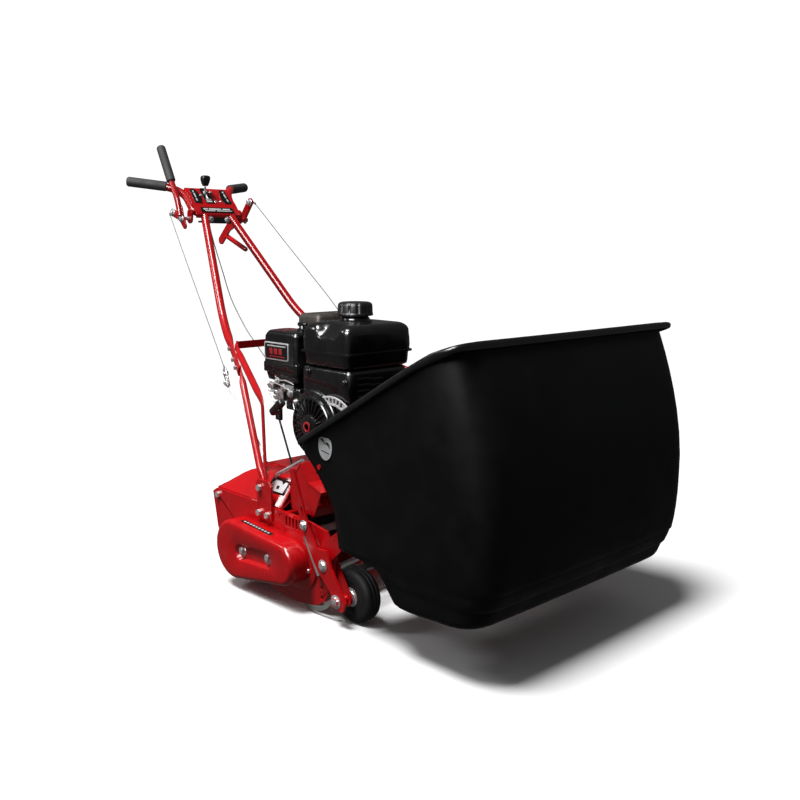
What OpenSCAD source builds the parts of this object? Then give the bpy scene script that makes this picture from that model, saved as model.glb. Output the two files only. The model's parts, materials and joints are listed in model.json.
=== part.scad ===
// Power reel mower: front-throw cutting reel, rear traction drum, front height wheels,
// horizontal-shaft engine, V-shaped tube handle and a moulded front grass catcher.
// Millimetres. Forward is -Y, the operator's right is -X, the ground is Z = 0.

/* [Chassis] */
// Distance between the outer faces of the side plates
chassis_w = 540; // [500:10:560]
// Thickness of the side plates
plate_t = 5; // [4:1:6]
// Height of the engine deck above the ground
deck_z = 257; // [250:1:262]

/* [Drum and reel] */
// Radius of the rear traction drum
drum_r = 93; // [88:1:95]
// Radius of the cutting reel
reel_r = 64; // [60:1:66]
// Number of reel blades
blade_count = 7; // [5:1:9]
// Radius of the drum and reel shafts
shaft_r = 10; // [8:1:11]

/* [Wheels] */
// Radius of the front height wheels
wheel_r = 56; // [50:1:58]
// Width of the front height wheels
wheel_w = 40; // [34:1:44]

/* [Handle] */
// Outer radius of the handle tube
tube_r = 9.5; // [9:0.5:11]
// Radius of the rubber grips
grip_r = 12; // [11:0.5:14]
// Length of each hand grip
grip_l = 108; // [95:1:112]

/* [Catcher] */
// Outside width of the catcher body
catcher_w = 648; // [640:2:652]
// Wall thickness of the catcher
catcher_t = 4; // [3:0.5:5]
// Outside width across the rolled rim
rim_w = 672; // [664:2:680]

/* [Hidden] */
$fn = 64;

// shared clearances
run_gap = 0.05;      // radial gap of a shaft in its bearing
edge_step = 0.12;    // step where a straight run meets a round end
side_x = chassis_w / 2;

// axes that run across the machine, as [y, z]
drum_c = [13, drum_r];
reel_c = [-165, 104];
crank_c = [-79, 365];
arm_pivot = [-269, 121];
axle_c = [-310, wheel_r];
idler_pivot = [-20, 140];
idler_c = [-44, 211];
idler_tail = [8, 118];
lever_pivot = [563, 834];
throttle_pivot = [594, 868];

// places across the machine, as x
chain_x = side_x + 30;
belt_x = side_x + 22;
wheel_x = 230;
lever_x = 101.5;
left_lever_x = 93;
throttle_x = -12;

// handle plane on the right side: x = handle_x0 + handle_slope * y
handle_x0 = -255;
handle_slope = 0.39;
handle_len = sqrt(1 + handle_slope * handle_slope);

reel_half = 232;
drum_half = 250;
bolt_af = 12.7;

red = "#c8141c";
black = "#202022";
steel = "#b8bcc0";
rubber = "#2a2a2c";

// ---------------------------------------------------------------- helpers

// extrudes a (y, z) outline across the machine from x0 over a length
module across(x0, length) {
    translate([x0, 0, 0]) rotate([90, 0, 90]) linear_extrude(length) children();
}

// cylinder along X around a (y, z) centre
module disc(x0, length, centre, r) {
    translate([x0, centre[0], centre[1]]) rotate([0, 90, 0]) cylinder(h = length, r = r);
}

// flat strip of width w through a list of 2-D points, round at every point;
// the straight runs are a hair narrower than the round ends
module path2d(points, w) {
    run = w - 2 * edge_step;
    for (p = points) translate(p) circle(d = w);
    for (i = [0 : len(points) - 2]) let(d = points[i + 1] - points[i])
        translate(points[i]) rotate(atan2(d[1], d[0])) translate([0, -run / 2])
            square([norm(d), run]);
}

module link2d(a, b, w) { path2d([a, b], w); }

// two circles of different radius wrapped by their outer tangents
module wrap2d(c1, r1, c2, r2) {
    d = c2 - c1;
    base = atan2(d[1], d[0]);
    turn = acos((r1 - r2) / norm(d));
    translate(c1) circle(r = r1);
    translate(c2) circle(r = r2);
    polygon([
        c1 + (r1 - edge_step) * [cos(base + turn), sin(base + turn)],
        c1 + (r1 - edge_step) * [cos(base - turn), sin(base - turn)],
        c2 + (r2 - edge_step) * [cos(base - turn), sin(base - turn)],
        c2 + (r2 - edge_step) * [cos(base + turn), sin(base + turn)]
    ]);
}

// round rod between two 3-D points
module rod(a, b, r) {
    d = b - a;
    translate(a) rotate([0, acos(d[2] / norm(d)), atan2(d[1], d[0])])
        cylinder(h = norm(d), r = r);
}

// rod through a list of points, with a ball a hair larger than the rod at each bend
module bent_rod(points, r) {
    for (i = [0 : len(points) - 2]) rod(points[i], points[i + 1], r);
    for (i = [1 : len(points) - 2]) translate(points[i]) sphere(r = r + edge_step);
}

// hexagon head along X around a (y, z) centre
module hex_x(x0, centre, length, af = bolt_af) {
    translate([x0, centre[0], centre[1]]) rotate([0, 90, 0])
        cylinder(h = length, d = af / cos(30), $fn = 6);
}

// both sides of the machine
module both() {
    children();
    mirror([1, 0, 0]) children();
}

// (u, z) outlines in the slanted vertical plane of the right handle side;
// offset_out is the plate's middle plane, measured outwards
module handle_plate(offset_out, thickness) {
    translate([handle_x0, 0, 0]) rotate([0, 0, atan2(1, handle_slope)])
        translate([0, offset_out + thickness / 2, 0]) rotate([90, 0, 0])
            linear_extrude(thickness) children();
}

// a (y, z) point of the handle plane as (u, z), and as a 3-D point on the right side
function on_plate(p) = [p[0] * handle_len, p[1]];
function on_right(p) = [handle_x0 + handle_slope * p[0], p[0], p[1]];

// ring of points around a route point, used to sweep a cable
function unit(v) = v / norm(v);
function side_of(d) = unit(cross(d, abs(d[0]) < 0.9 ? [1, 0, 0] : [0, 1, 0]));
function ring(p, d, r, n) = let(a = side_of(d), b = cross(d, a))
    [for (k = [0 : n - 1]) p + r * (cos(360 * k / n) * a + sin(360 * k / n) * b)];
function heading(path, i) = unit(path[min(i + 1, len(path) - 1)] - path[max(i - 1, 0)]);

// Catmull-Rom points through a hand-set route
function spline_at(p0, p1, p2, p3, t) = 0.5 * (2 * p1 + (p2 - p0) * t
    + (2 * p0 - 5 * p1 + 4 * p2 - p3) * t * t + (3 * p1 - p0 - 3 * p2 + p3) * t * t * t);
function smooth(path, steps) = let(last = len(path) - 1) concat(
    [for (i = [0 : last - 1], s = [0 : steps - 1])
        spline_at(path[max(i - 1, 0)], path[i], path[i + 1], path[min(i + 2, last)], s / steps)],
    [path[last]]);

// cable of radius r swept along a smooth route
module cable(route, r, steps = 5, n = 8) {
    path = smooth(route, steps);
    rings = len(path);
    pts = [for (i = [0 : rings - 1]) each ring(path[i], heading(path, i), r, n)];
    sides = [for (i = [0 : rings - 2], k = [0 : n - 1])
        [i * n + k, i * n + (k + 1) % n, (i + 1) * n + (k + 1) % n, (i + 1) * n + k]];
    ends = [[for (k = [n - 1 : -1 : 0]) k], [for (k = [0 : n - 1]) (rings - 1) * n + k]];
    polyhedron(pts, concat(sides, ends));
}

// ---------------------------------------------------------------- chassis

bracket_bolts = [[-31, 179], [-63, 179]];
bracket_top = [-34, 236];
roller_holes = [for (i = [0 : 2]) [-243, 40 + 22 * i]];
rear_rod = [149, 182];
front_rod = [-262, 150];
low_rod = [-100, 186];
engine_bolts = [for (x = [-68, 138], y = [-115, 40]) [x, y]];

module side_outline() {
    polygon([[154, 197], [173, 187], [156, 102], [128, 60], [60, 34], [-60, 14],
        [-108, 7], [-166, 7], [-219, 16], [-253, 34], [-270, 65], [-286, 105],
        [-286, 150], [-262, 188], [-183, 198], [125, 198]]);
}

module side_plate() {
    across(-side_x, plate_t) difference() {
        side_outline();
        translate(drum_c) circle(r = 22);
        translate(reel_c) circle(r = 22);
        for (h = roller_holes) translate(h) circle(r = 4.2);
        translate(arm_pivot) circle(r = 6 + run_gap);
        for (h = bracket_bolts) translate(h) circle(r = 4.1);
        for (h = [rear_rod, front_rod, low_rod]) translate(h) circle(r = 4.1);
    }
}

module side_plate_right() { color(red) side_plate(); }
module side_plate_left() { color(red) mirror([1, 0, 0]) side_plate(); }

// folded sheet between the side plates that carries the engine
module engine_deck() {
    inner = side_x - plate_t;
    crown = 170;
    rear_wall = [[162, 150], [160, 194]];
    rear_slope = [[160, 194], [108, 238], [80, deck_z - 4], [-38, deck_z - 4]];
    color(red) union() {
        across(-inner, 2 * inner) path2d(rear_wall, 3);
        across(1 - crown, 2 * crown - 2) path2d(rear_slope, 3);
        // hips that slope down to the side plates
        both() translate([0, 100, 0]) rotate([90, 0, 0]) linear_extrude(200)
            polygon([[-inner + 1, 198.5], [-inner + 4, 198.5], [-crown + 5, deck_z - 3],
                [-crown - 1, deck_z - 2]]);
        difference() {
            translate([-170, -160, deck_z - 5]) cube([340, 240, 5]);
            for (b = engine_bolts) translate([b[0], b[1], deck_z - 10])
                cylinder(h = 20, r = 4.5);
        }
        for (x = [-170, 165]) translate([x, -160, 214]) cube([5, 90, deck_z - 218]);
    }
}

// deflector that rises forward over the reel to the mouth of the catcher
module grass_shield() {
    back = [[-70, 150], [-64, 225], [-48, 247]];
    hood = [[-106, 252], [-146, 305], [-172, 268], [-215, 254]];
    back_half = 164;
    end_x = side_x - 22;
    wing_w = end_x - 182;
    engine_bay = 182;
    color(red) difference() {
        union() {
            across(-back_half, 2 * back_half) path2d(back, 2.5);
            across(-end_x, 2 * end_x) path2d(hood, 2.5);
            both() {
                across(-end_x + 1, 3) polygon(concat(hood, [[-190, 199], [-112, 199]]));
                across(-end_x + wing_w - 3.5, 3)
                    polygon(concat(hood, [[-190, 236], [-112, 236]]));
            }
        }
        translate([-engine_bay, -166, 249]) cube([2 * engine_bay, 130, 90]);
    }
}

module tie_rods() {
    inner = side_x - plate_t;
    color(red) {
        disc(-inner, 2 * inner, rear_rod, 8);
        disc(-inner, 2 * inner, front_rod, 8);
        disc(-inner, 2 * inner, low_rod, 6);
    }
}

// bar under the reel and the knife bolted to it
module bed_bar() {
    inner = side_x - plate_t - 0.5;
    color(red) across(-inner, 2 * inner)
        polygon([[-150, 26], [-92, 36], [-88, 60], [-96, 62], [-102, 46], [-150, 34]]);
}

module bed_knife() {
    color(steel) across(-reel_half, 2 * reel_half)
        polygon([[-170, 31.5], [-150, 34.4], [-128, 40], [-129, 42.8], [-150, 37.8], [-170, 36]]);
}

module bearing_flanges() {
    color(steel) both() for (c = [drum_c, reel_c]) difference() {
        union() {
            disc(-side_x - 5, 5, c, 34);
            disc(-side_x - 1, plate_t + 6, c, 21.7);
        }
        disc(-side_x - 10, 30, c, shaft_r + run_gap);
    }
}

// toothed sector plates that the height arms lock into
module height_combs() {
    color(red) both() across(-side_x - plate_t, plate_t - 0.2) difference() {
        polygon([[-108, 190], [-118, 200], [-150, 193], [-206, 196], [-203, 168],
            [-186, 160], [-128, 162], [-118, 172]]);
        for (i = [0 : 5]) translate([-130 - 12 * i, 181]) square([6, 22], center = true);
    }
}

module handle_brackets() {
    color(red) both() across(-side_x - plate_t - 0.2, plate_t) difference() {
        polygon([[-22, 166], [-74, 166], [-76, 244], [-66, 254], [-26, 254], [-18, 244]]);
        for (h = concat(bracket_bolts, [bracket_top])) translate(h) circle(r = 4.1);
    }
}

// ---------------------------------------------------------------- handle

strut_foot = [-34, 236];
front_kink = [-18, 424];
front_top = [238, 518];
rear_top = [176, 473];
tube_end = [170, 466];
tube_bend = [340, 571];
tube_top = [548, 842];
brace_y = 238;
head_cross = [561, 848];
head_corner = [64, 561, 848];
head_rear = [68, 604, 903];
grip_root = [101, 642, 922];
grip_tip = [186, 696, 934];
flat_out = 4;        // outer face of the pressed tube end, from the handle plane
strut_bolts = [[250, 511], [214, 488], [187, 472]];

module front_struts() {
    color(red) both() handle_plate(-9.9, 5) difference() {
        path2d([on_plate(strut_foot), on_plate(front_kink), on_plate(front_top)], 20);
        translate(on_plate(strut_foot)) circle(r = 4.1);
    }
}

module rear_struts() {
    color(red) both() handle_plate(-4.5, 5) difference() {
        link2d(on_plate([-4, 240]), on_plate(rear_top), 17);
        translate(on_plate([-34, 236])) circle(r = 22);
    }
}

module handle_tubes() {
    color(red) both() difference() {
        bent_rod([on_right(tube_end), on_right(tube_bend), on_right(tube_top)], tube_r);
        disc(-side_x, 2 * side_x, head_cross, tube_r + 0.2);
        handle_plate(-4.5, 5.4) link2d(on_plate(rear_top), on_plate([60, 320]), 17.4);
        handle_plate(-9.9, 5.4) link2d(on_plate(front_kink), on_plate(front_top), 20.4);
        handle_plate(flat_out + 6, 12) link2d(on_plate([120, 440]), on_plate([256, 514]), 40);
    }
}

function flip(p) = [-p[0], p[1], p[2]];

// cross tube with a swept-back horn on each side
module handlebar() {
    color(red) bent_rod([flip(grip_tip), flip(grip_root), flip(head_rear), flip(head_corner),
        head_corner, head_rear, grip_root, grip_tip], tube_r);
}

// aims +Z along a direction and starts at a point
module aimed(at, dir) {
    translate(at) rotate([0, acos(dir[2] / norm(dir)), atan2(dir[1], dir[0])]) children();
}

// rubber sleeve with a bore, a closed end and a rounded nose
module sleeve(r, bore, depth, length) {
    nose = 6;
    rotate_extrude() difference() {
        union() {
            square([r, length - nose]);
            translate([0, length - nose]) square([r - nose, nose]);
            translate([r - nose, length - nose]) intersection() {
                circle(r = nose);
                square(nose);
            }
        }
        translate([-1, -1]) square([bore + 1, depth + 1]);
    }
}

module grips() {
    along = grip_tip - grip_root;
    color(rubber) both()
        aimed(flip(grip_root), flip(along))
            sleeve(grip_r, tube_r + edge_step + 0.03, norm(along) + 0.2, grip_l);
}

module cross_brace() {
    x_end = -handle_x0 - handle_slope * brace_y - 15.6;
    color(red) {
        translate([-x_end, brace_y - 2.5, 511]) cube([2 * x_end, 5, 18]);
        both() handle_plate(-14.8, 4) translate([brace_y * handle_len - 4, 511])
            square([24, 18]);
    }
}

panel_rear = [607, 919];
panel_fold = [561, 872];
panel_lip = [536, 848];

// folded sheet over the cross tube, with a slot for the throttle lever
module control_panel() {
    color(red) difference() {
        union() {
            across(-57, 114) path2d([panel_rear, panel_fold, panel_lip], 2.4);
            for (x = [throttle_x - 9, throttle_x + 6]) across(x, 3)
                polygon([[600, 910], [575, 885], [586, 858], [602, 858]]);
        }
        across(throttle_x - 4, 8) link2d([578, 889.5], [601, 912.5], 9);
        disc(throttle_x - 12, 24, throttle_pivot, 2.5 + run_gap);
    }
}

module lever_brackets() {
    color(red) both() {
        across(-80, 5) difference() {
            link2d(head_cross, lever_pivot, 26);
            translate(lever_pivot) circle(r = 5 + run_gap);
        }
    }
}

// rod lever with a cable arm, on the operator's right
right_bolt = [608, 851];
right_lever_line = [[-107, 556, 826], [-107, 574, 884], [-107, 606, 938]];
right_lever_tip = [-107, 653, 1025];

module right_lever() {
    color(red) difference() {
        union() {
            across(-lever_x - 2.5, 5) {
                path2d([[549, 817], lever_pivot, right_bolt], 20);
                link2d(lever_pivot + [1, 4], [568, 860], 16);
            }
            bent_rod(concat(right_lever_line, [right_lever_tip]), 7);
            disc(-lever_x - 10, 12, right_bolt, 5);
        }
        disc(-lever_x - 20, 30, lever_pivot, 5 + run_gap);
    }
    color(steel) disc(-lever_x - 8, 34, lever_pivot, 5);
}

module right_lever_grip() {
    a = right_lever_line[2];
    d = right_lever_tip - a;
    color(rubber) aimed(a, d) sleeve(10.5, 7, norm(d), norm(d) + 8);
}

// flat lever with a curved tail and a welded finger rod, on the operator's left
left_bolt = [530, 882];
module left_lever() {
    color(red) union() {
        across(left_lever_x, 5)
            path2d([left_bolt, [566, 842], [606, 829], [644, 815], [686, 778]], 24);
        rod([left_lever_x + 6, 662, 790], [left_lever_x + 6, 566, 752], 7);
        translate([left_lever_x + 6, 566, 752]) sphere(r = 7 + edge_step);
        disc(left_lever_x + 2, 8, left_bolt, 5);
    }
    color(steel) disc(left_lever_x - 23, 23, lever_pivot, 5);
}

module throttle_lever() {
    color(steel) {
        rod([throttle_x, throttle_pivot[0], throttle_pivot[1]], [throttle_x, 588, 923.4], 2.6);
        disc(throttle_x - 10, 20, throttle_pivot, 2.5);
        disc(throttle_x - 4, 8, throttle_pivot, 5);
    }
}

module throttle_knob() {
    color(black) translate([throttle_x, 588, 926]) rotate([-6, 0, 0]) rotate([12, 0, 0])
        rotate_extrude() polygon([[0, -2], [8, -2], [10, 3], [13, 20], [12, 25], [9, 27], [0, 27]]);
}

// ---------------------------------------------------------------- cables

right_route = [[-114, 608, 846], [-134, 512, 750], [-154, 416, 655], [-174, 320, 560],
    [-193, 228, 467]];
right_spring = [[-193.5, 226, 463], [-199, 200, 418]];
right_low_rod = [[-199, 200, 418], [-196, 150, 378], [-215, 70, 330], [-230, 20, 300],
    [-235, 0, 232]];
left_route = [[106, 527, 883], [118.5, 494, 845], [137, 445, 787.5], [156, 395, 730],
    [175, 345, 672.5], [194, 296, 615], [215, 235, 538], [240, 165, 445], [266, 100, 320],
    [287, 54, 210], [299, 26, 150], [301.5, 12.4, 126.2]];
throttle_route = [[-12, 586, 852], [-12, 566, 800], [-14, 545, 760], [-20, 500, 692],
    [-30, 445, 620], [-44, 360, 550], [-52, 300, 512], [-60, 230, 470], [-62, 150, 430],
    [-62, 106, 420]];

module right_cable() { color("#8a8a8a") cable(right_route, 1.5, 6); }
module left_cable() { color("#8a8a8a") cable(left_route, 1.5, 6); }
module throttle_cable() { color("#6f7468") cable(throttle_route, 1.8, 5); }

// tension spring, clevis and lower rod of the right-hand clutch run
module cable_springs() {
    color(steel) {
        rod(right_spring[0], right_spring[1], 6);
        bent_rod(right_low_rod, 2);
        disc(-239, 8, [0, 228], 5);
    }
}

// ---------------------------------------------------------------- drive

module rear_drum() {
    color(black) difference() {
        disc(-drum_half, 2 * drum_half, drum_c, drum_r);
        disc(-drum_half + 12, 2 * drum_half - 24, drum_c, drum_r - 5);
        disc(-drum_half - 1, 8, drum_c, drum_r - 5);
        disc(drum_half - 7, 8, drum_c, drum_r - 5);
        disc(-drum_half - 5, 2 * drum_half + 10, drum_c, shaft_r);
    }
}

module drum_shaft() {
    color(steel) disc(-side_x - 40, 2 * side_x + 46, drum_c, shaft_r);
}

// toothed wheel along X with a hub; each tooth has a root flat, two flanks and a tip
module sprocket(centre, r, teeth, x0, t) {
    pitch = 360 / teeth;
    corners = [[-0.34, r - 6], [-0.14, r], [0.14, r], [0.34, r - 6]];
    difference() {
        union() {
            across(x0, t) translate(centre)
                polygon([for (i = [0 : teeth - 1], c = corners)
                    c[1] * [cos(pitch * (i + c[0])), sin(pitch * (i + c[0]))]]);
            disc(x0 - 5, 5, centre, shaft_r + 4);
        }
        disc(x0 - 10, t + 20, centre, shaft_r);
    }
}

module drum_sprocket() { color(steel) sprocket(drum_c, 54, 27, -chain_x - 2, 4); }
module reel_sprocket() { color(steel) sprocket(reel_c, 22, 9, -chain_x - 2, 4); }

module drive_chain() {
    color(steel) across(-chain_x - 4, 8) difference() {
        wrap2d(drum_c, 62, reel_c, 30);
        wrap2d(drum_c, 54.6, reel_c, 22.6);
    }
}

cover_rear_r = 67;
cover_front_r = 46;
cover_bolts = [[-25, 100], [-123, 109]];

// pressed cover with a long dimple for its two bolts
module chain_cover() {
    color(red) difference() {
        union() {
            difference() {
                across(-side_x - 55, 46) wrap2d(drum_c, cover_rear_r, reel_c, cover_front_r);
                across(-side_x - 53, 50)
                    wrap2d(drum_c, cover_rear_r - 2, reel_c, cover_front_r - 2);
            }
            across(-side_x - 54, 8) link2d(cover_bolts[0], cover_bolts[1], 34.5);
        }
        across(-side_x - 60, 11) link2d(cover_bolts[0], cover_bolts[1], 30);
        for (b = cover_bolts) disc(-side_x - 60, 20, b, 4.2);
    }
    color(red) for (z = [46, 151]) disc(-side_x - 11, 10.8, [-76, z], 4);
}

module reel_shaft() {
    color(steel) disc(-side_x - 40, 2 * side_x + 75, reel_c, shaft_r);
}

module reel_discs() {
    color(red) for (x = [-224, -112, 0, 112, 224]) difference() {
        union() {
            disc(x - 2, 4, reel_c, 50);
            disc(x - 8, 16, reel_c, 17);
        }
        disc(x - 10, 20, reel_c, shaft_r);
        for (i = [0 : 4]) disc(x - 5, 10, reel_c + 34 * [cos(72 * i), sin(72 * i)], 9);
    }
}

module reel_blades() {
    color(steel) translate([-reel_half, reel_c[0], reel_c[1]]) rotate([90, 0, 90])
        linear_extrude(2 * reel_half, twist = 75, slices = 14, segments = 4, $fn = 8)
            for (i = [0 : blade_count - 1]) rotate(i * 360 / blade_count)
                translate([reel_r - 17, -1.8]) square([17, 3.6]);
}

module pulley(centre, r, x0, w, bore) {
    translate([x0, centre[0], centre[1]]) rotate([0, 90, 0]) rotate_extrude()
        polygon([[bore, 0], [r, 0], [r, 1.5], [r - 9, w / 2 - 1], [r - 9, w / 2 + 1],
            [r, w - 1.5], [r, w], [bore, w]]);
}

module reel_pulley() { color(steel) pulley(reel_c, 60, belt_x - 8, 16, shaft_r); }

module drive_belt() {
    color(rubber) across(belt_x - 3, 6) difference() {
        wrap2d(reel_c, 66, crank_c, 38);
        wrap2d(reel_c, 60.5, crank_c, 32.5);
    }
}

module engine_pulley() {
    color(steel) {
        pulley(crank_c, 32, belt_x - 8, 16, 11);
        difference() {
            disc(172, belt_x - 180, crank_c, 17);
            disc(170, belt_x, crank_c, 11);
        }
    }
}

module idler_arm() {
    color(steel) difference() {
        union() {
            across(side_x + 29, 5) {
                link2d(idler_pivot, idler_c, 20);
                link2d(idler_pivot + [2, -2], idler_tail, 14);
            }
            disc(belt_x - 8, 20, idler_c, 5);
        }
        disc(side_x, 40, idler_pivot, 6 + run_gap);
    }
}

module idler_pulley() {
    color(black) difference() {
        disc(belt_x - 6, 12, idler_c, 22);
        disc(belt_x - 8, 16, idler_c, 5 + run_gap);
    }
}

module belt_guard() {
    guard_r = 46;
    color(red) difference() {
        across(side_x + 23, 29) wrap2d(reel_c, 78, crank_c, guard_r + 4);
        across(side_x + 21, 29) wrap2d(reel_c, 76, crank_c, guard_r + 2);
        across(side_x + 4, 36) link2d(idler_pivot, idler_c, 62);
    }
    color(red) for (a = [200, 290])
        disc(side_x + 0.2, 51, reel_c + 72.5 * [cos(a), sin(a)], 4);
}

// ---------------------------------------------------------------- height adjustment

// plate with the comb finger, inner axle strap and stub axle; lug is the height of its finger pin
module height_arm(lug) {
    x_out = -side_x - 17;
    color(red) {
        union() {
            across(x_out, 5) difference() {
                union() {
                    polygon([[-161, 298], [-166, 305], [-175, 305], [-222, 192], [-246, 152],
                        [-281, 155], [-296, 120], [-340, 60], [-332, 40], [-318, 38],
                        [-288, 74], [-262, 96], [-240, 120], [-226, 142], [-198, 192]]);
                    translate(axle_c) circle(r = 17);
                }
                translate([-203, 220]) rotate(66) square([20, 6], center = true);
            }
            across(-side_x + 8, 4) difference() {
                link2d(arm_pivot, axle_c, 34);
                translate([-235, 100]) circle(r = 12);
            }
            disc(x_out, 29, arm_pivot, 6);
            disc(x_out - lug, lug + 3, [-208, 192], 6);
            disc(x_out - 4.5, side_x + 17 - 200, axle_c, 6);
            disc(x_out - 5, 40, axle_c, 9);
        }
    }
}

module height_arm_right() { height_arm(5); }
module height_arm_left() { mirror([1, 0, 0]) height_arm(1.5); }

module tyre() {
    color(rubber) translate([-wheel_x - wheel_w / 2, axle_c[0], axle_c[1]]) rotate([0, 90, 0])
        rotate_extrude() polygon([[20, 2], [40, 0], [wheel_r - 4, 2], [wheel_r, 8],
            [wheel_r, wheel_w - 8], [wheel_r - 4, wheel_w - 2], [40, wheel_w], [20, wheel_w - 2]]);
}

module hub() {
    color(steel) {
        difference() {
            disc(-wheel_x - wheel_w / 2 - 1, wheel_w + 2, axle_c, 20);
            disc(-wheel_x - 40, 80, axle_c, 6 + run_gap);
        }
    }
}

module tyre_right() { tyre(); }
module tyre_left() { mirror([1, 0, 0]) tyre(); }
module hub_right() { hub(); }
module hub_left() { mirror([1, 0, 0]) hub(); }

// ---------------------------------------------------------------- engine

module crankcase() {
    color("#3a3c3e") {
        translate([-80, -135, deck_z]) cube([230, 185, 14]);
        difference() {
            union() {
                disc(-92, 242, crank_c, 62);
                translate([-60, -60, deck_z + 10]) cube([190, 100, 100]);
                translate([-40, -70, 400]) rotate([-18, 0, 0]) {
                    for (i = [0 : 6]) translate([0, 0, 10 * i]) cube([100, 90, 5]);
                    translate([14, 12, 0]) cube([72, 66, 70]);
                }
            }
            disc(-200, 500, crank_c, 11 + run_gap);
        }
    }
}

module crankshaft() {
    color(steel) disc(-130, belt_x + 138, crank_c, 11);
}

module blower_housing() {
    color(black) difference() {
        across(-162, 70) {
            translate(crank_c) circle(r = 72);
            translate(crank_c + [-28, 8]) circle(r = 84);
            polygon([[-33, 496], [-205, 496], [-205, 420], [-170, 330], [-60, 330], [-22, 400]]);
        }
        across(-158, 70) {
            translate(crank_c) circle(r = 68);
            translate(crank_c + [-28, 8]) circle(r = 80);
            polygon([[-38, 492], [-201, 492], [-201, 420], [-166, 334], [-60, 334], [-26, 400]]);
        }
        disc(-170, 20, crank_c, 48);
    }
    // shroud in front of the cylinder, as wide as the tank and open towards it
    color(black) difference() {
        translate([-94, -200, 428]) cube([110, 124, 68]);
        translate([-120, -196, 420]) cube([132, 130, 72]);
    }
}

module recoil_cover() {
    color(black) difference() {
        union() {
            disc(-168, 5.6, crank_c, 66);
            disc(-178, 12, crank_c, 52);
        }
        disc(-174, 16, crank_c, 46);
        for (i = [0 : 11]) translate([-185, crank_c[0], crank_c[1]]) rotate([30 * i, 0, 0])
            translate([0, -3, 20]) cube([20, 6, 20]);
    }
    color(black) across(-174.5, 6) link2d(crank_c + [52, 18], grip_c - [6, 0], 12);
}

// pull grip of the recoil starter, parked on the rope guide behind its cover
grip_c = [23, 397];
module starter_handle() {
    color(black) translate([-184, grip_c[0], grip_c[1]]) rotate([52, 0, 0])
        translate([0, 0, -29]) cylinder(h = 58, r = 9);
}

tank_x = [-160, 30];
tank_y = [-203, -35];

module rounded_block(x, y, z, r) {
    translate([x[0] + r, y[0] + r, z[0]]) linear_extrude(z[1] - z[0]) {
        w = x[1] - x[0] - 2 * r;
        d = y[1] - y[0] - 2 * r;
        for (i = [0, w], j = [0, d]) translate([i, j]) circle(r = r);
        translate([-r, 0]) square([w + 2 * r, d]);
        translate([0, -r]) square([w, d + 2 * r]);
    }
}

cap_c = [-46, -92];

module fuel_tank() {
    color(black) difference() {
        union() {
            rounded_block(tank_x, tank_y, [532, 592], 22);
            rounded_block(tank_x + [4, -4], tank_y + [4, -4], [498, 600], 26);
            rounded_block(tank_x + [-4, 4], tank_y + [-4, 4], [530, 534], 24);
            translate([cap_c[0], cap_c[1], 598]) cylinder(h = 8, r = 26);
        }
        rounded_block(tank_x + [8, -8], tank_y + [8, -8], [503, 590], 22);
        translate([cap_c[0], cap_c[1], 580]) cylinder(h = 40, r = 21);
    }
}

module fuel_cap() {
    color(black) translate([cap_c[0], cap_c[1], 606.4]) difference() {
        union() {
            cylinder(h = 31, r = 41);
            translate([0, 0, -10]) cylinder(h = 12, r = 20.5);
        }
        for (i = [0 : 11]) rotate(30 * i) translate([42, 0, 6]) cylinder(h = 30, r = 3);
    }
}

module air_cleaner() {
    color(black) {
        difference() {
            union() {
                rounded_block([-160, -72], [-18, 116], [436, 560], 10);
                rounded_block([-152, -80], [-10, 104], [436, 572], 8);
            }
            translate([-150, -8, 446]) cube([66, 104, 104]);
        }
        translate([-116, 30, 572]) cylinder(h = 14, r = 8);
        translate([-116, 30, 578]) cube([34, 8, 8], center = true);
    }
}

module muffler() {
    color("#33312f") {
        difference() {
            rounded_block([-58, 92], [28, 110], [500, 602], 8);
            rounded_block([-55, 89], [31, 107], [480, 599], 7);
        }
        rounded_block([-46, 80], [36, 102], [504, 588], 20);
        bent_rod([[0, 34, 464], [0, 50, 500], [0, 66, 530]], 12);
    }
}

// ---------------------------------------------------------------- catcher

mouth_top = [-250, 379];
rim_knee = [-598, 577];
hook_c = [-302, 338];
rim_rear = [-262, 384];
rim_corner = [-662, 606];

// bulging front wall from the rim down to the floor bend, moved inwards by inset
front_bulge = 80;
front_steps = 10;
function front_wall(inset) = [for (i = [0 : front_steps]) let(t = i / front_steps)
    [-662 + 29.4 * (1 - t) * (1 - t) - front_bulge * sin(180 * (0.12 + 0.76 * t)) + inset,
        606 - 462 * t]];
// floor from the front bend back to the wheel arch
floor_line = [[-678, 114], [-650, 108], [-530, 110], [-500, 126], [-480, 152], [-452, 177],
    [-349, 190]];
rear_line = [[-338, 250], [-323, 283], [-305, 310], [-276, 343], [-252, 356]];

module catcher_outline() {
    polygon(concat([mouth_top, rim_knee], front_wall(0), floor_line, rear_line));
}

module catcher_hollow() {
    in = catcher_t + 1;
    raised = [for (p = floor_line) p + [0.5, in]];
    polygon(concat([[-200, 430], [-600, 640], [-655, 640]], front_wall(in), raised,
        [[-300, 196], [-200, 300]]));
}

module grass_catcher() {
    half = catcher_w / 2;
    color(black) difference() {
        union() {
            difference() {
                across(-half, 2 * half) catcher_outline();
                across(-half + catcher_t, 2 * (half - catcher_t)) catcher_hollow();
            }
            both() across(-rim_w / 2, 18) path2d([rim_rear, rim_knee, rim_corner], 12);
            across(-rim_w / 2 + 0.5, rim_w - 1) link2d([-654, 607], [-666, 608], 12.6);
            both() across(-half + 1, 20) difference() {
                translate(hook_c) circle(r = 14);
                translate(hook_c) circle(r = 5.4);
                translate(hook_c + [-5.4, -20]) square([10.8, 20]);
            }
        }
    }
}

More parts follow.
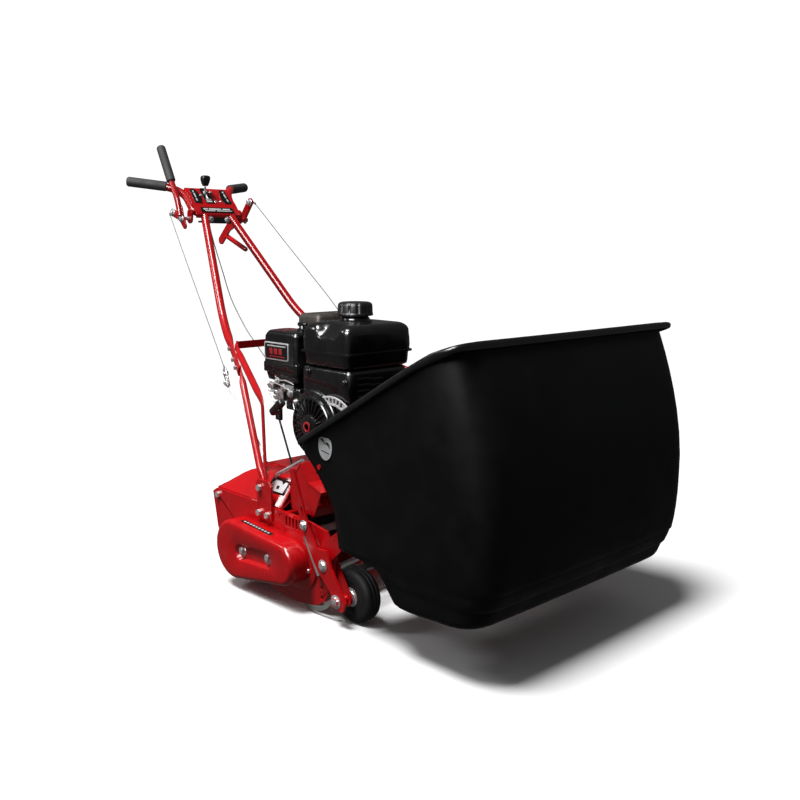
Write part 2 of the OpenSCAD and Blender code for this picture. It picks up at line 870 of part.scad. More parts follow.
module catcher_hangers() {
    color(red) both() {
        across(-side_x - 5.8, 5) polygon([[-250, 132], [-285, 134], [-344, 190], [-344, 250],
            [-322, 318], [-314, 346], [-302, 350], [-288, 344], [-292, 322], [-318, 262],
            [-316, 208], [-268, 172], [-250, 165]]);
        disc(-side_x - 49.4, 47.4, hook_c, 5);
    }
}

// ---------------------------------------------------------------- fasteners

module frame_bolts() {
    outer = -side_x;
    color(steel) both() {
        hex_x(outer - 6, rear_rod, 6);
        for (b = bracket_bolts) hex_x(outer - 12.4, b, 7);
        hex_x(outer - 12.4, bracket_top, 7);
    }
    color(steel) {
        for (b = cover_bolts) hex_x(-side_x - 54.5, b, 5.4);
        both() for (p = strut_bolts)
            translate(on_right(p)) rotate([0, 0, -atan(handle_slope)]) rotate([0, -90, 0])
                translate([0, 0, flat_out + 0.2]) cylinder(h = 5, r = 5.5, $fn = 6);
        for (b = engine_bolts) translate([b[0], b[1], deck_z + 14.2])
            cylinder(h = 7, d = 15, $fn = 6);
        disc(side_x + 0.2, 34.3, idler_pivot, 6);
    }
}

side_plate_right();
side_plate_left();
engine_deck();
grass_shield();
tie_rods();
bed_bar();
bed_knife();
handle_brackets();
front_struts();
rear_struts();
handle_tubes();
handlebar();
control_panel();
grips();
cross_brace();
lever_brackets();
right_lever();
right_lever_grip();
left_lever();
throttle_lever();
throttle_knob();
right_cable();
left_cable();
throttle_cable();
cable_springs();
rear_drum();
drum_shaft();
drum_sprocket();
reel_shaft();
reel_discs();
reel_blades();
reel_sprocket();
drive_chain();
chain_cover();
reel_pulley();
drive_belt();
engine_pulley();
idler_arm();
idler_pulley();
belt_guard();
bearing_flanges();
height_arm_right();
height_arm_left();
tyre_right();
tyre_left();
hub_right();
hub_left();
height_combs();
crankcase();
blower_housing();
recoil_cover();
starter_handle();
fuel_tank();
fuel_cap();
air_cleaner();
muffler();
crankshaft();
grass_catcher();
catcher_hangers();
frame_bolts();
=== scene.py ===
"""Looks of the reel mower: materials, detailed pieces around the CAD frame, studio and camera.

Shapes are written in millimetres in the CAD frame and scaled to metres when a piece is made.
"""
import json
from math import acos, atan2, copysign, cos, exp, pi, radians, sin, sqrt

import bmesh
import bpy
from mathutils import Matrix, Vector


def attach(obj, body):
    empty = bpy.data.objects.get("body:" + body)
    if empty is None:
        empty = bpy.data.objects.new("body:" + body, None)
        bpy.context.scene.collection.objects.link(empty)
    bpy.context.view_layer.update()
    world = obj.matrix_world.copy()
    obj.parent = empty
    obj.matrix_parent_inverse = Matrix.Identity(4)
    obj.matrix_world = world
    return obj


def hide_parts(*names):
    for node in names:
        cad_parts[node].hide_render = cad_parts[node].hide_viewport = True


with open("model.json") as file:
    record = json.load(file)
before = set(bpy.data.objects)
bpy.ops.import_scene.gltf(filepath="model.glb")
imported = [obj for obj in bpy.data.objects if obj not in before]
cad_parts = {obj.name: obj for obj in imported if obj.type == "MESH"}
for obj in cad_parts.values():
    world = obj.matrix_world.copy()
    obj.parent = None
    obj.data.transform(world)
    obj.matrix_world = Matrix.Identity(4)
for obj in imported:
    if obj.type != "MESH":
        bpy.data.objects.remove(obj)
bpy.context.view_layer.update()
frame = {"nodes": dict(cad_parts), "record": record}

MM = 0.001
SIDE_X = 270.0
DRUM_C = (13.0, 93.0)
REEL_C = (-165.0, 104.0)
CRANK_C = (-79.0, 365.0)
LEVER_C = (563.0, 834.0)
RIGHT_BOLT = (608, 851)
LEFT_BOLT = (530, 882)
WHEEL_C = (-310, 56)
WHEEL_X = 230
ARM_PIVOT = (-269, 121)
TO_RIGHT = (-1, 0, 0)
TO_LEFT = (1, 0, 0)
UP = (0, 0, 1)
HANDLE_X0 = -255.0
HANDLE_SLOPE = 0.39


# ---------------------------------------------------------------- materials

def node(tree, kind, **values):
    """A shader node with its sockets or properties set by name."""
    made = tree.nodes.new(kind)
    for key, value in values.items():
        if key in made.inputs:
            made.inputs[key].default_value = value
        else:
            setattr(made, key, value)
    return made


def noise(tree, where, scale, detail=3.0, stretch=(1, 1, 1)):
    """Noise in object space, optionally stretched along an axis; returns its factor socket."""
    mapping = node(tree, "ShaderNodeMapping")
    mapping.inputs["Scale"].default_value = stretch
    tree.links.new(where, mapping.inputs["Vector"])
    made = node(tree, "ShaderNodeTexNoise", Scale=scale, Detail=detail)
    tree.links.new(mapping.outputs["Vector"], made.inputs["Vector"])
    return made.outputs["Fac"]


def ranged(tree, factor, low, high, start=0.3, end=0.7):
    """A factor mapped from start..end to low..high."""
    made = node(tree, "ShaderNodeMapRange")
    made.inputs["From Min"].default_value = start
    made.inputs["From Max"].default_value = end
    made.inputs["To Min"].default_value = low
    made.inputs["To Max"].default_value = high
    tree.links.new(factor, made.inputs["Value"])
    return made.outputs["Result"]


def blend_colour(tree, factor, low, high):
    """Two colours, or a socket and a colour, mixed by a factor."""
    made = node(tree, "ShaderNodeMix", data_type="RGBA")
    tree.links.new(factor, made.inputs["Factor"])
    for socket, value in ((made.inputs["A"], low), (made.inputs["B"], high)):
        if isinstance(value, bpy.types.NodeSocket):
            tree.links.new(value, socket)
        else:
            socket.default_value = (*value, 1.0)
    return made.outputs["Result"]


def surface(name, dark, light, rough, metallic=0.0, patch=9.0, grain=900.0, bump=0.05,
            bump_mm=0.2, coat=0.0, stretch=(1, 1, 1), wear=None, specular=0.5):
    """A principled material: patchy colour, varied roughness, grain bump and optional scuffs."""
    made = bpy.data.materials.new(name)
    made.use_nodes = True
    tree = made.node_tree
    shader = tree.nodes["Principled BSDF"]
    where = node(tree, "ShaderNodeTexCoord").outputs["Object"]
    colour = blend_colour(tree, ranged(tree, noise(tree, where, patch), 0, 1), dark, light)
    rough_socket = ranged(tree, noise(tree, where, patch * 4, 5.0, stretch), *rough)
    if wear:
        scuffs = noise(tree, where, wear["scale"], 8.0, wear.get("stretch", (1, 1, 1)))
        mask = ranged(tree, scuffs, 0, wear["amount"], wear["start"], wear["start"] + 0.12)
        colour = blend_colour(tree, mask, colour, wear["colour"])
    tree.links.new(colour, shader.inputs["Base Color"])
    tree.links.new(rough_socket, shader.inputs["Roughness"])
    fine = noise(tree, where, grain, 2.0, stretch)
    ridge = node(tree, "ShaderNodeBump", Strength=bump, Distance=bump_mm * MM)
    tree.links.new(fine, ridge.inputs["Height"])
    tree.links.new(ridge.outputs["Normal"], shader.inputs["Normal"])
    shader.inputs["Metallic"].default_value = metallic
    shader.inputs["Coat Weight"].default_value = coat
    shader.inputs["Coat Roughness"].default_value = 0.08
    shader.inputs["Specular IOR Level"].default_value = specular
    return made


DUST = {"scale": 30.0, "amount": 0.025, "start": 0.56, "colour": (0.45, 0.40, 0.36)}
MATS = {
    "red": surface("red_powder_coat", (0.56, 0.003, 0.006), (0.66, 0.005, 0.009),
                   (0.20, 0.28), grain=1500, bump=0.06, coat=0.25, wear=DUST, specular=0.36),
    "enamel": surface("black_gloss_enamel", (0.004, 0.004, 0.005), (0.009, 0.009, 0.010),
                      (0.16, 0.30), grain=1800, bump=0.06, coat=0.35, wear={
                          "scale": 60.0, "amount": 0.03, "start": 0.6,
                          "colour": (0.20, 0.20, 0.20)}),
    "plastic": surface("black_moulded_plastic", (0.006, 0.006, 0.007), (0.012, 0.012, 0.013),
                       (0.30, 0.46), grain=2600, bump=0.12),
    "catcher": surface("catcher_polyethylene", (0.0030, 0.0032, 0.0036),
                       (0.0052, 0.0055, 0.0060), (0.42, 0.56), patch=5.0, grain=1400, bump=0.16,
                       bump_mm=0.3, specular=0.10),
    "rim": surface("catcher_rim_polyethylene", (0.004, 0.004, 0.005), (0.007, 0.007, 0.008),
                   (0.24, 0.36), patch=8.0, grain=1400, bump=0.10, specular=0.55),
    "drum": surface("drum_paint", (0.012, 0.012, 0.013), (0.03, 0.03, 0.032), (0.38, 0.6),
                    grain=700, bump=0.2, wear=DUST),
    "rubber": surface("grip_rubber", (0.022, 0.022, 0.024), (0.036, 0.036, 0.038),
                      (0.62, 0.78), grain=2400, bump=0.35),
    "tyre": surface("tyre_rubber", (0.004, 0.004, 0.005), (0.009, 0.009, 0.010), (0.55, 0.75),
                    grain=1300, bump=0.3, specular=0.25),
    "zinc": surface("zinc_plate", (0.55, 0.56, 0.58), (0.78, 0.78, 0.77), (0.22, 0.38),
                    metallic=0.55, patch=40, grain=1600, bump=0.08),
    "steel": surface("ground_steel", (0.34, 0.33, 0.32), (0.52, 0.52, 0.52), (0.26, 0.46),
                     metallic=1.0, patch=30, grain=1200, bump=0.15, stretch=(0.05, 1, 1)),
    "cast": surface("cast_aluminium", (0.10, 0.105, 0.11), (0.20, 0.205, 0.21), (0.45, 0.62),
                    metallic=0.85, patch=30, grain=520, bump=0.5, bump_mm=0.4),
    "heat": surface("muffler_steel", (0.035, 0.03, 0.028), (0.12, 0.105, 0.095), (0.5, 0.7),
                    metallic=0.8, patch=22, grain=600, bump=0.35),
    "cable": surface("cable_sleeve", (0.20, 0.20, 0.19), (0.30, 0.30, 0.28), (0.4, 0.55),
                     patch=60, grain=1500, bump=0.1),
    "belt": surface("belt_rubber", (0.012, 0.012, 0.012), (0.03, 0.03, 0.03), (0.6, 0.8),
                    grain=1500, bump=0.3),
    "sticker_black": surface("sticker_black", (0.004, 0.004, 0.004), (0.008, 0.008, 0.008),
                             (0.22, 0.34), bump=0.02),
    "sticker_white": surface("sticker_white", (0.72, 0.73, 0.74), (0.86, 0.86, 0.86),
                             (0.3, 0.45), patch=60, bump=0.02),
    "sticker_silver": surface("sticker_silver", (0.66, 0.67, 0.69), (0.80, 0.81, 0.82),
                              (0.3, 0.45), metallic=0.1, patch=50, bump=0.03),
    "sticker_red": surface("sticker_red", (0.50, 0.02, 0.03), (0.66, 0.03, 0.04),
                           (0.3, 0.4), bump=0.02),
}

SLOT_MATERIAL = {
    "frame_paint": "red", "engine_black": "enamel", "engine_casting": "cast", "zinc": "zinc",
    "blade_steel": "steel", "rubber": "rubber", "tyre": "tyre", "black_plastic": "plastic",
    "catcher_plastic": "catcher", "drum_paint": "drum", "cable_grey": "cable",
    "muffler_metal": "heat",
}
MATERIAL_SLOT = {material: slot for slot, material in SLOT_MATERIAL.items()}


WELD_GAP = 0.00001
EDGE_BREAK = 0.0009


def dress_cad_nodes():
    """Gives every CAD node its material and softly broken edges."""
    slots = {s["node"]: s["material_slot"] for s in frame["record"]["subparts"]}
    for name, obj in frame["nodes"].items():
        made = MATS[SLOT_MATERIAL[slots[name]]]
        obj.data.materials.clear()
        obj.data.materials.append(made)
        weld = obj.modifiers.new("weld", "WELD")
        weld.merge_threshold = WELD_GAP
        bevel = obj.modifiers.new("bevel", "BEVEL")
        bevel.width = EDGE_BREAK
        bevel.segments = 2
        bevel.limit_method = "ANGLE"
        bevel.angle_limit = radians(40)
        bevel.use_clamp_overlap = True
        obj.modifiers.new("normals", "WEIGHTED_NORMAL").keep_sharp = True


dress_cad_nodes()


# ---------------------------------------------------------------- mesh tools

def piece(name, bm, made, replaces=(), body="chassis", slot=None, crease=35):
    """Turns a bmesh in millimetres into a named piece that rides on a CAD body.

    Its slot, the one its material stands for unless slot names another, is worked out but not kept.
    """
    bmesh.ops.remove_doubles(bm, verts=bm.verts, dist=0.001)
    bmesh.ops.recalc_face_normals(bm, faces=bm.faces)
    bmesh.ops.scale(bm, vec=(MM, MM, MM), verts=bm.verts)
    mesh = bpy.data.meshes.new(name)
    bm.to_mesh(mesh)
    bm.free()
    mesh.shade_smooth()
    mesh.set_sharp_from_angle(angle=radians(crease))
    for m in made if isinstance(made, (list, tuple)) else [made]:
        mesh.materials.append(MATS[m])
    obj = bpy.data.objects.new(name, mesh)
    bpy.context.scene.collection.objects.link(obj)
    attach(obj, body)
    slot = slot or MATERIAL_SLOT[made]
    if replaces:
        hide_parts(*replaces)
    return obj


def thicken(obj, thickness, offset=-1):
    """Gives a sheet its thickness, inwards unless offset is 0."""
    sheet = obj.modifiers.new("sheet", "SOLIDIFY")
    sheet.thickness = thickness * MM
    sheet.offset = offset


def flip(point):
    """The same point on the other side of the machine."""
    return Vector((-point[0], point[1], point[2]))


def on_handle(y, z, side=-1):
    """A point of the slanted handle plane; side -1 is the operator's right."""
    return Vector((-side * (HANDLE_X0 + HANDLE_SLOPE * y), y, z))


def fillet(points, radius, steps=8, closed=False):
    """A polyline with each corner rounded; points may be 2-D or 3-D."""
    pts = [Vector(p) for p in points]
    count = len(pts)
    inner = range(count) if closed else range(1, count - 1)
    out = [] if closed else [pts[0]]
    for i in inner:
        a, b, c = pts[i - 1], pts[i], pts[(i + 1) % count]
        reach = min(radius, (b - a).length * 0.49, (c - b).length * 0.49)
        start = b + (a - b).normalized() * reach
        end = b + (c - b).normalized() * reach
        for k in range(steps + 1):
            t = k / steps
            out.append((1 - t) ** 2 * start + 2 * t * (1 - t) * b + t * t * end)
    return out if closed else out + [pts[-1]]


def spline(points, steps=8):
    """Catmull-Rom points through a route."""
    pts = [Vector(p) for p in points]
    last = len(pts) - 1
    out = []
    for i in range(last):
        p0, p1, p2, p3 = pts[max(i - 1, 0)], pts[i], pts[i + 1], pts[min(i + 2, last)]
        for k in range(steps):
            t = k / steps
            out.append(0.5 * (2 * p1 + (p2 - p0) * t + (2 * p0 - 5 * p1 + 4 * p2 - p3) * t ** 2
                              + (3 * p1 - p0 - 3 * p2 + p3) * t ** 3))
    return out + [pts[last]]


def round_section(r, n):
    """A circle as (side, up) points."""
    return [(r * cos(2 * pi * k / n), r * sin(2 * pi * k / n))
            for k in range(n)]


def skin(bm, rings, closed=True, caps=True):
    """Faces between rings of equal length, and optional end faces."""
    grid = [[bm.verts.new(p) for p in ring] for ring in rings]
    n = len(grid[0])
    span = n if closed else n - 1
    for a, b in zip(grid, grid[1:]):
        for k in range(span):
            bm.faces.new((a[k], a[(k + 1) % n], b[(k + 1) % n], b[k]))
    if caps:
        bm.faces.new(list(reversed(grid[0])))
        bm.faces.new(grid[-1])
    return grid


def sweep(bm, path, section, scale=None, side=None):
    """Carries a closed section along a path; scale(i) shrinks it, side fixes its first axis."""
    path = [Vector(p) for p in path]
    rings = []
    last = len(path) - 1
    normal = None
    for i, p in enumerate(path):
        heading = (path[min(i + 1, last)] - path[max(i - 1, 0)]).normalized()
        if side is not None:
            normal = Vector(side)
        elif normal is None:
            normal = Vector((1, 0, 0)) if abs(heading.x) < 0.9 else Vector((0, 1, 0))
        normal = (normal - heading * normal.dot(heading)).normalized()
        up = heading.cross(normal)
        k = scale(i) if scale else 1.0
        rings.append([p + normal * (a * k) + up * (b * k) for a, b in section])
    skin(bm, rings)


def tube(bm, path, r, n=20):
    """A round tube or rod with flat ends."""
    sweep(bm, path, round_section(r, n))


def domed_tube(bm, start, end, r, nose):
    """A straight sleeve from start to end with a rounded far end."""
    start, end = Vector(start), Vector(end)
    heading = (end - start).normalized()
    length = (end - start).length
    bend = [radians(a) for a in range(12, 91, 13)]
    stations = [0, 1.2, 3, length - nose]
    stations += [length - nose + nose * sin(a) for a in bend] + [length, length]
    sizes = [0.93, 0.985, 1, 1] + [1 - 0.58 * (1 - cos(a)) for a in bend] + [0.3, 0.02]
    sweep(bm, [start + heading * (s + 1e-4 * i) for i, s in enumerate(stations)],
          round_section(r, 28), scale=lambda i: sizes[i])


def lathe(bm, profile, centre, axis, n=48):
    """An (r, h) profile turned about an axis; r may be a list for a shape that isn't round."""
    axis = Vector(axis).normalized()
    first = Vector(UP) if abs(axis.z) < 0.9 else Vector((0, 1, 0))
    first = (first - axis * first.dot(axis)).normalized()
    second = axis.cross(first)
    rings = []
    for r, h in profile:
        radii = r if isinstance(r, list) else [max(r, 0.01)] * n
        rings.append([Vector(centre) + axis * h + (first * cos(2 * pi * k / n)
                      + second * sin(2 * pi * k / n)) * radii[k] for k in range(n)])
    skin(bm, rings)


def bolt(bm, at, axis, af, height, washer, nut=False):
    """Hex head with a chamfered crown on a washer, standing out along axis."""
    axis = Vector(axis).normalized()
    at = Vector(at)
    corner = af / 2 / cos(pi / 6)
    r = af * 0.86
    lathe(bm, [(r, 0), (r, washer * 0.7), (r - 0.5, washer)], at, axis, 28)
    base = at + axis * washer
    lathe(bm, [(corner, 0), (corner, height * 0.8), (corner * 0.86, height)], base, axis, 6)
    if nut:
        lathe(bm, [(af * 0.24, 0), (af * 0.24, 3), (af * 0.2, 3.6)],
              base + axis * (height - 0.2), axis, 18)


def block(bm, low, high, r=2.0, segments=3, material=0, matrix=None):
    """A box with rounded edges, optionally placed by a matrix."""
    low, high = Vector(low), Vector(high)
    part = bmesh.new()
    bmesh.ops.create_cube(part, size=1)
    bmesh.ops.scale(part, vec=high - low, verts=part.verts)
    bmesh.ops.translate(part, vec=(low + high) / 2, verts=part.verts)
    bmesh.ops.bevel(part, geom=list(part.edges) + list(part.verts), offset=r,
                    segments=segments, profile=0.5, affect="EDGES")
    if matrix is not None:
        part.transform(matrix)
    for face in part.faces:
        face.material_index = material
    merge(bm, part)


def merge(bm, part):
    """Adds one bmesh to another and frees it."""
    mesh = bpy.data.meshes.new("part")
    part.to_mesh(mesh)
    part.free()
    bm.from_mesh(mesh)
    bpy.data.meshes.remove(mesh)


def plate(bm, loops, thickness, matrix, bevel=0.8, material=0):
    """A flat part cut from (u, v) loops: the outline, then its holes; edges are broken."""
    curve = bpy.data.curves.new("plate", "CURVE")
    curve.dimensions = "2D"
    curve.fill_mode = "BOTH"
    curve.extrude = thickness / 2 - bevel
    curve.bevel_depth = bevel
    curve.bevel_resolution = 2
    curve.offset = -bevel
    for loop in loops:
        made = curve.splines.new("POLY")
        made.points.add(len(loop) - 1)
        for point, p in zip(made.points, loop):
            point.co = (p[0], p[1], 0, 1)
        made.use_cyclic_u = True
    obj = bpy.data.objects.new("plate", curve)
    bpy.context.scene.collection.objects.link(obj)
    mesh = bpy.data.meshes.new_from_object(
        obj.evaluated_get(bpy.context.evaluated_depsgraph_get()))
    bpy.data.objects.remove(obj)
    bpy.data.curves.remove(curve)
    mesh.transform(matrix)
    for face in mesh.polygons:
        face.material_index = material
    bm.from_mesh(mesh)
    bpy.data.meshes.remove(mesh)


def sticker(bm, loops, plane, lift, thickness, material):
    """A thin printed patch lifted off a plane."""
    plate(bm, loops, thickness, plane @ Matrix.Translation((0, 0, lift)), 0.15, material)


def facing_x(x):
    """Places a (u, v) drawing as (y, z) at the given x."""
    return Matrix(((0, 0, 1, x), (1, 0, 0, 0), (0, 1, 0, 0), (0, 0, 0, 1)))


def wrap_loop(c1, r1, c2, r2):
    """Outline of a belt round two circles."""
    n = 48
    a, b = Vector(c1), Vector(c2)
    base = atan2((b - a).y, (b - a).x)
    turn = acos((r1 - r2) / (b - a).length)
    out = []
    for c, r, start, end in ((a, r1, turn, 2 * pi - turn), (b, r2, -turn, turn)):
        for k in range(n):
            t = base + start + (end - start) * k / (n - 1)
            out.append(Vector((c.x + r * cos(t), c.y + r * sin(t))))
    return out


def smooth_step(t):
    """0 to 1 with flat ends."""
    t = max(0.0, min(1.0, t))
    return t * t * (3 - 2 * t)


# ---------------------------------------------------------------- grass catcher

RIM_LINE = [(-252, 387), (-400, 467), (-545, 548), (-620, 587), (-664, 606)]
FRONT_LINE = [(-664, 606), (-688, 545), (-711, 470), (-728, 390), (-732, 310), (-731, 240),
              (-723, 182), (-711, 150), (-694, 110)]
FLOOR_LINE = [(-349, 172), (-400, 168), (-450, 160), (-470, 136), (-492, 106), (-530, 101),
              (-600, 105), (-694, 110)]
REAR_LINE = [(-349, 172), (-339, 250), (-324, 283), (-305, 310), (-277, 342), (-256, 360),
             (-252, 387)]
GROOVES = (150.0, 181.0)
FOOT_R = 20.0
RIM_OUT = 11.0
RIM_CORNER = 44.0
CORNER_REACH = 0.83
FRONT_BOW = 2.0
SIDE_STEPS = 18
CORNER_STEPS = 12
FRONT_STEPS = 13
HANGER_PIN = (-302, 338)
HOOK_R = 5.4
BADGE_C = (-325, 383)


def along(points, t):
    """The point a share t of the way along a smooth curve through points."""
    path = spline(points, 6)
    steps = [0.0]
    for a, b in zip(path, path[1:]):
        steps.append(steps[-1] + (b - a).length)
    want = t * steps[-1]
    for i in range(1, len(path)):
        if steps[i] >= want:
            k = (want - steps[i - 1]) / max(steps[i] - steps[i - 1], 1e-9)
            return path[i - 1].lerp(path[i], k)
    return path[-1]


def catcher_half_width(z):
    """Half the catcher's outside width, narrower towards its floor."""
    return 307 + 18 * smooth_step((z - 110) / 420)


def catcher_corner(z):
    """Radius of the front corners, tighter towards the floor."""
    return 68 + 22 * smooth_step((z - 150) / 400)


def catcher_inset(z, rise):
    """How far the wall stands in: the foot radius and the two moulded steps."""
    inset = 0.0
    if rise < FOOT_R:
        inset = FOOT_R - sqrt(max(0.0, FOOT_R ** 2 - (FOOT_R - rise) ** 2))
    for groove in GROOVES:
        inset += 2.4 * (1 - smooth_step((z - groove + 3) / 4))
        inset += 2.2 * exp(-((z - groove) / 1.6) ** 2)
    return inset


def side_profile(share):
    """(y, z) points of the side wall at a share of its height, from the rear to the front."""
    steps = 26
    front, rear = along(FRONT_LINE[::-1], share), along(REAR_LINE, share)
    foot_ends = (Vector(FLOOR_LINE[0]), Vector(FLOOR_LINE[-1]))
    rim_ends = (Vector(RIM_LINE[0]), Vector(RIM_LINE[-1]))
    points = []
    for k in range(steps + 1):
        s = k / steps
        ruled = along(FLOOR_LINE, s).lerp(along(RIM_LINE, s), share)
        lofted = rear.lerp(front, s)
        corner = foot_ends[0].lerp(foot_ends[1], s).lerp(rim_ends[0].lerp(rim_ends[1], s), share)
        points.append(ruled + lofted - corner)
    return points, front


def wrap_front(side, half, front, radius):
    """A loop down the right side, round the front and back along the left side."""
    reach = radius * CORNER_REACH
    along_side = [p for p in side if p.x > front.x + reach]
    last = len(along_side) - 1
    loop = []
    for i in range(SIDE_STEPS + 1):
        p = along_side[round(i * last / SIDE_STEPS)]
        loop.append(Vector((-half(p.y), p.x, p.y)))
    start = loop[-1]
    end = Vector((-half(front.y) + reach, front.x, front.y))
    knee = Vector((-half(front.y), front.x, front.y))
    for k in range(1, CORNER_STEPS + 1):
        t = k / CORNER_STEPS
        loop.append((1 - t) ** 2 * start + 2 * t * (1 - t) * knee + t * t * end)
    for k in range(1, FRONT_STEPS + 1):
        t = k / FRONT_STEPS
        bow = FRONT_BOW * sin(t * pi / 2)
        loop.append(Vector((end.x * (1 - t), end.y - bow, end.z)))
    return loop + [flip(p) for p in reversed(loop[:-1])]


def catcher_loops():
    """Loops of the outer wall from its foot to its rim."""
    rises = [0, 0.4, 1.5, 3.5, 6.5, 10, 14, 17, 20, 25, 31, 35, 37, 38.5, 40, 41.5, 43, 47, 54,
             62, 66, 68, 69.5, 71, 72.5, 74, 78, 86, 100, 125, 155, 190, 230, 275, 320, 360, 400,
             435, 465, 485, 496]
    loops = []
    for rise in rises:
        side, front = side_profile(rise / rises[-1])
        inset = catcher_inset(front.y, rise)
        moved = Vector((front.x + inset, front.y))
        loops.append(wrap_front(side, lambda z: catcher_half_width(z) - catcher_inset(z, rise),
                                moved, catcher_corner(front.y)))
    return loops


def grass_catcher():
    """Moulded open shell with rounded corners, stepped foot and a rolled double rim."""
    bm = bmesh.new()
    loops = catcher_loops()
    grid = skin(bm, loops, closed=False, caps=False)
    foot = grid[0]
    half = len(foot) // 2
    columns = 18
    rows = [foot[: half + 1]]
    for c in range(1, columns):
        rows.append([bm.verts.new(foot[i].co.lerp(foot[-1 - i].co, c / columns))
                     for i in range(half)] + [foot[half]])
    rows.append([foot[-1 - i] for i in range(half)] + [foot[half]])
    for a, b in zip(rows, rows[1:]):
        for i in range(half - 1):
            bm.faces.new((a[i], b[i], b[i + 1], a[i + 1]))
        bm.faces.new((a[half - 1], b[half - 1], foot[half]))
    shell = piece("grass_catcher_shell", bm, "catcher", ["grass_catcher"], body="catcher",
                  crease=60)
    thicken(shell, 4)
    catcher_rim(loops[-1])


def catcher_rim(wall_top):
    """Rolled double rim, from the top loop of the wall out to a squarer loop."""
    rim = bmesh.new()
    side, front = side_profile(1.0)
    outer = wrap_front(side, lambda z: catcher_half_width(z) + RIM_OUT,
                       Vector((front.x - RIM_OUT, front.y)), RIM_CORNER)
    section = [(-0.35, 7), (0.0, 8), (0.1, 1.5), (0.32, -1), (0.46, 0.6), (0.6, -1.0),
               (0.74, -1.2), (0.86, -0.4), (0.95, 1.4), (1.0, 4.2), (1.0, 7.2), (0.96, 10),
               (0.89, 11.4), (0.82, 10.4), (0.79, 6),
               (0.45, 3.4), (0.14, 5.5), (0.06, 11), (-0.3, 11)]
    rings = [[p + (q - p) * a - Vector((0, 0, b)) for a, b in section]
             for p, q in zip(wall_top, outer)]
    skin(rim, rings)
    piece("grass_catcher_rim", rim, "rim", body="catcher", slot="catcher_plastic", crease=50)


def catcher_ears():
    """Hooks that drop over the hanger pins."""
    ears = bmesh.new()
    for sign in (-1, 1):
        outline = [(-316, 352), (-288, 352), (-288, 322), (-296.6, 322), (-296.6, 338)]
        outline += [(HANGER_PIN[0] + HOOK_R * cos(a), HANGER_PIN[1] + HOOK_R * sin(a))
                    for a in [radians(d) for d in range(15, 180, 15)]]
        outline += [(-307.4, 338), (-307.4, 322), (-316, 322)]
        plate(ears, [outline], 14, facing_x(sign * 308), 1.0)
    piece("catcher_ears", ears, "catcher", body="catcher")


def catcher_badge():
    """Oval badge with a generic leaf pattern on the right side."""
    decal = bmesh.new()
    x = -catcher_half_width(385) - 0.1
    y0, z0 = BADGE_C
    for wide, high, thickness, material in ((20.5, 27, 1.2, 0), (17.5, 24, 1.5, 1)):
        oval = [(y0 + wide * cos(a), z0 + high * sin(a))
                for a in [radians(d) for d in range(0, 360, 8)]]
        plate(decal, [oval], thickness, facing_x(x), 0.2, material)
    for dy, dz in ((-8, 4), (7, 10)):
        leaf = [(y0 + dy + a, z0 + dz + b) for a, b in
                ((-7, -6), (-6, 1), (-1, 5), (6, 5), (7, 0), (3, 1), (1, -3), (-2, 0), (-4, -6))]
        plate(decal, [leaf], 1.8, facing_x(x), 0.2, 2)
    plate(decal, [[(-338, 371), (-314, 375), (-314, 373), (-337, 369)]], 1.8, facing_x(x), 0.2, 2)
    piece("catcher_badge", decal, ["sticker_white", "sticker_silver", "sticker_black"],
          body="catcher", slot="catcher_plastic")


grass_catcher()
catcher_ears()
catcher_badge()


# ---------------------------------------------------------------- handle

TUBE_R = 10.6
GRIP_R = 13.4
GRIP_LENGTH = 106.5
GRIP_NOSE = 8
LEVER_ROD_R = 8
LEVER_SLEEVE_R = 12.2
REAR_STRUT_R = 8.3
FRONT_STRUT_R = 8.0


def handlebar():
    """Cross tube with two swept horns, bent in one piece."""
    bm = bmesh.new()
    right = [(-64, 561, 848), (-68, 604, 903), (-101, 642, 922), (-176, 690, 932)]
    path = [Vector(p) for p in reversed(right)] + [flip(p) for p in right]
    tube(bm, fillet(path, 24, 8), TUBE_R, 24)
    piece("handlebar_tube", bm, "red", ["handlebar"], crease=50)

    grips = bmesh.new()
    for sign in (1, -1):
        root, tip = Vector((101, 642, 922)), Vector((186, 696, 934))
        end = root + (tip - root).normalized() * GRIP_LENGTH
        root, end = (root, end) if sign > 0 else (flip(root), flip(end))
        domed_tube(grips, root, end, GRIP_R, GRIP_NOSE)
    piece("grip_sleeves", grips, "rubber", ["grips"], crease=40)


def clutch_lever():
    """Rod lever whose lower end is a flat strap, with its rubber sleeve and bolts."""
    bm = bmesh.new()
    tube(bm, fillet([(-107, 563, 842), (-107, 574, 884), (-107, 606, 938), (-107, 650, 1019)],
                    30, 8), LEVER_ROD_R)
    strap = fillet([(540, 812), (551, 803), (574, 828), (612, 841), (619, 851), (611, 861),
                    (577, 850), (572, 872), (562, 868), (554, 838)], 7, 5, closed=True)
    plate(bm, [strap], 5, facing_x(-101.5), 1.0)
    piece("clutch_lever_rod", bm, "red", ["right_lever"], body="clutch_lever", crease=45)

    grip = bmesh.new()
    low, high = Vector((-107, 604, 934)), Vector((-107, 655.5, 1029.5))
    domed_tube(grip, low, high, LEVER_SLEEVE_R, GRIP_NOSE)
    piece("clutch_lever_sleeve", grip, "rubber", ["right_lever_grip"], body="clutch_lever",
          crease=40)

    bolts = bmesh.new()
    bolt(bolts, (-104, *RIGHT_BOLT), TO_RIGHT, 12.7, 6, 1.6, nut=True)
    bolt(bolts, (-104, *LEVER_C), TO_RIGHT, 12.7, 6, 1.6)
    lathe(bolts, [(5, 0), (5, 28)], (-104, *LEVER_C), TO_LEFT, 20)
    piece("clutch_lever_bolts", bolts, "zinc", body="clutch_lever")


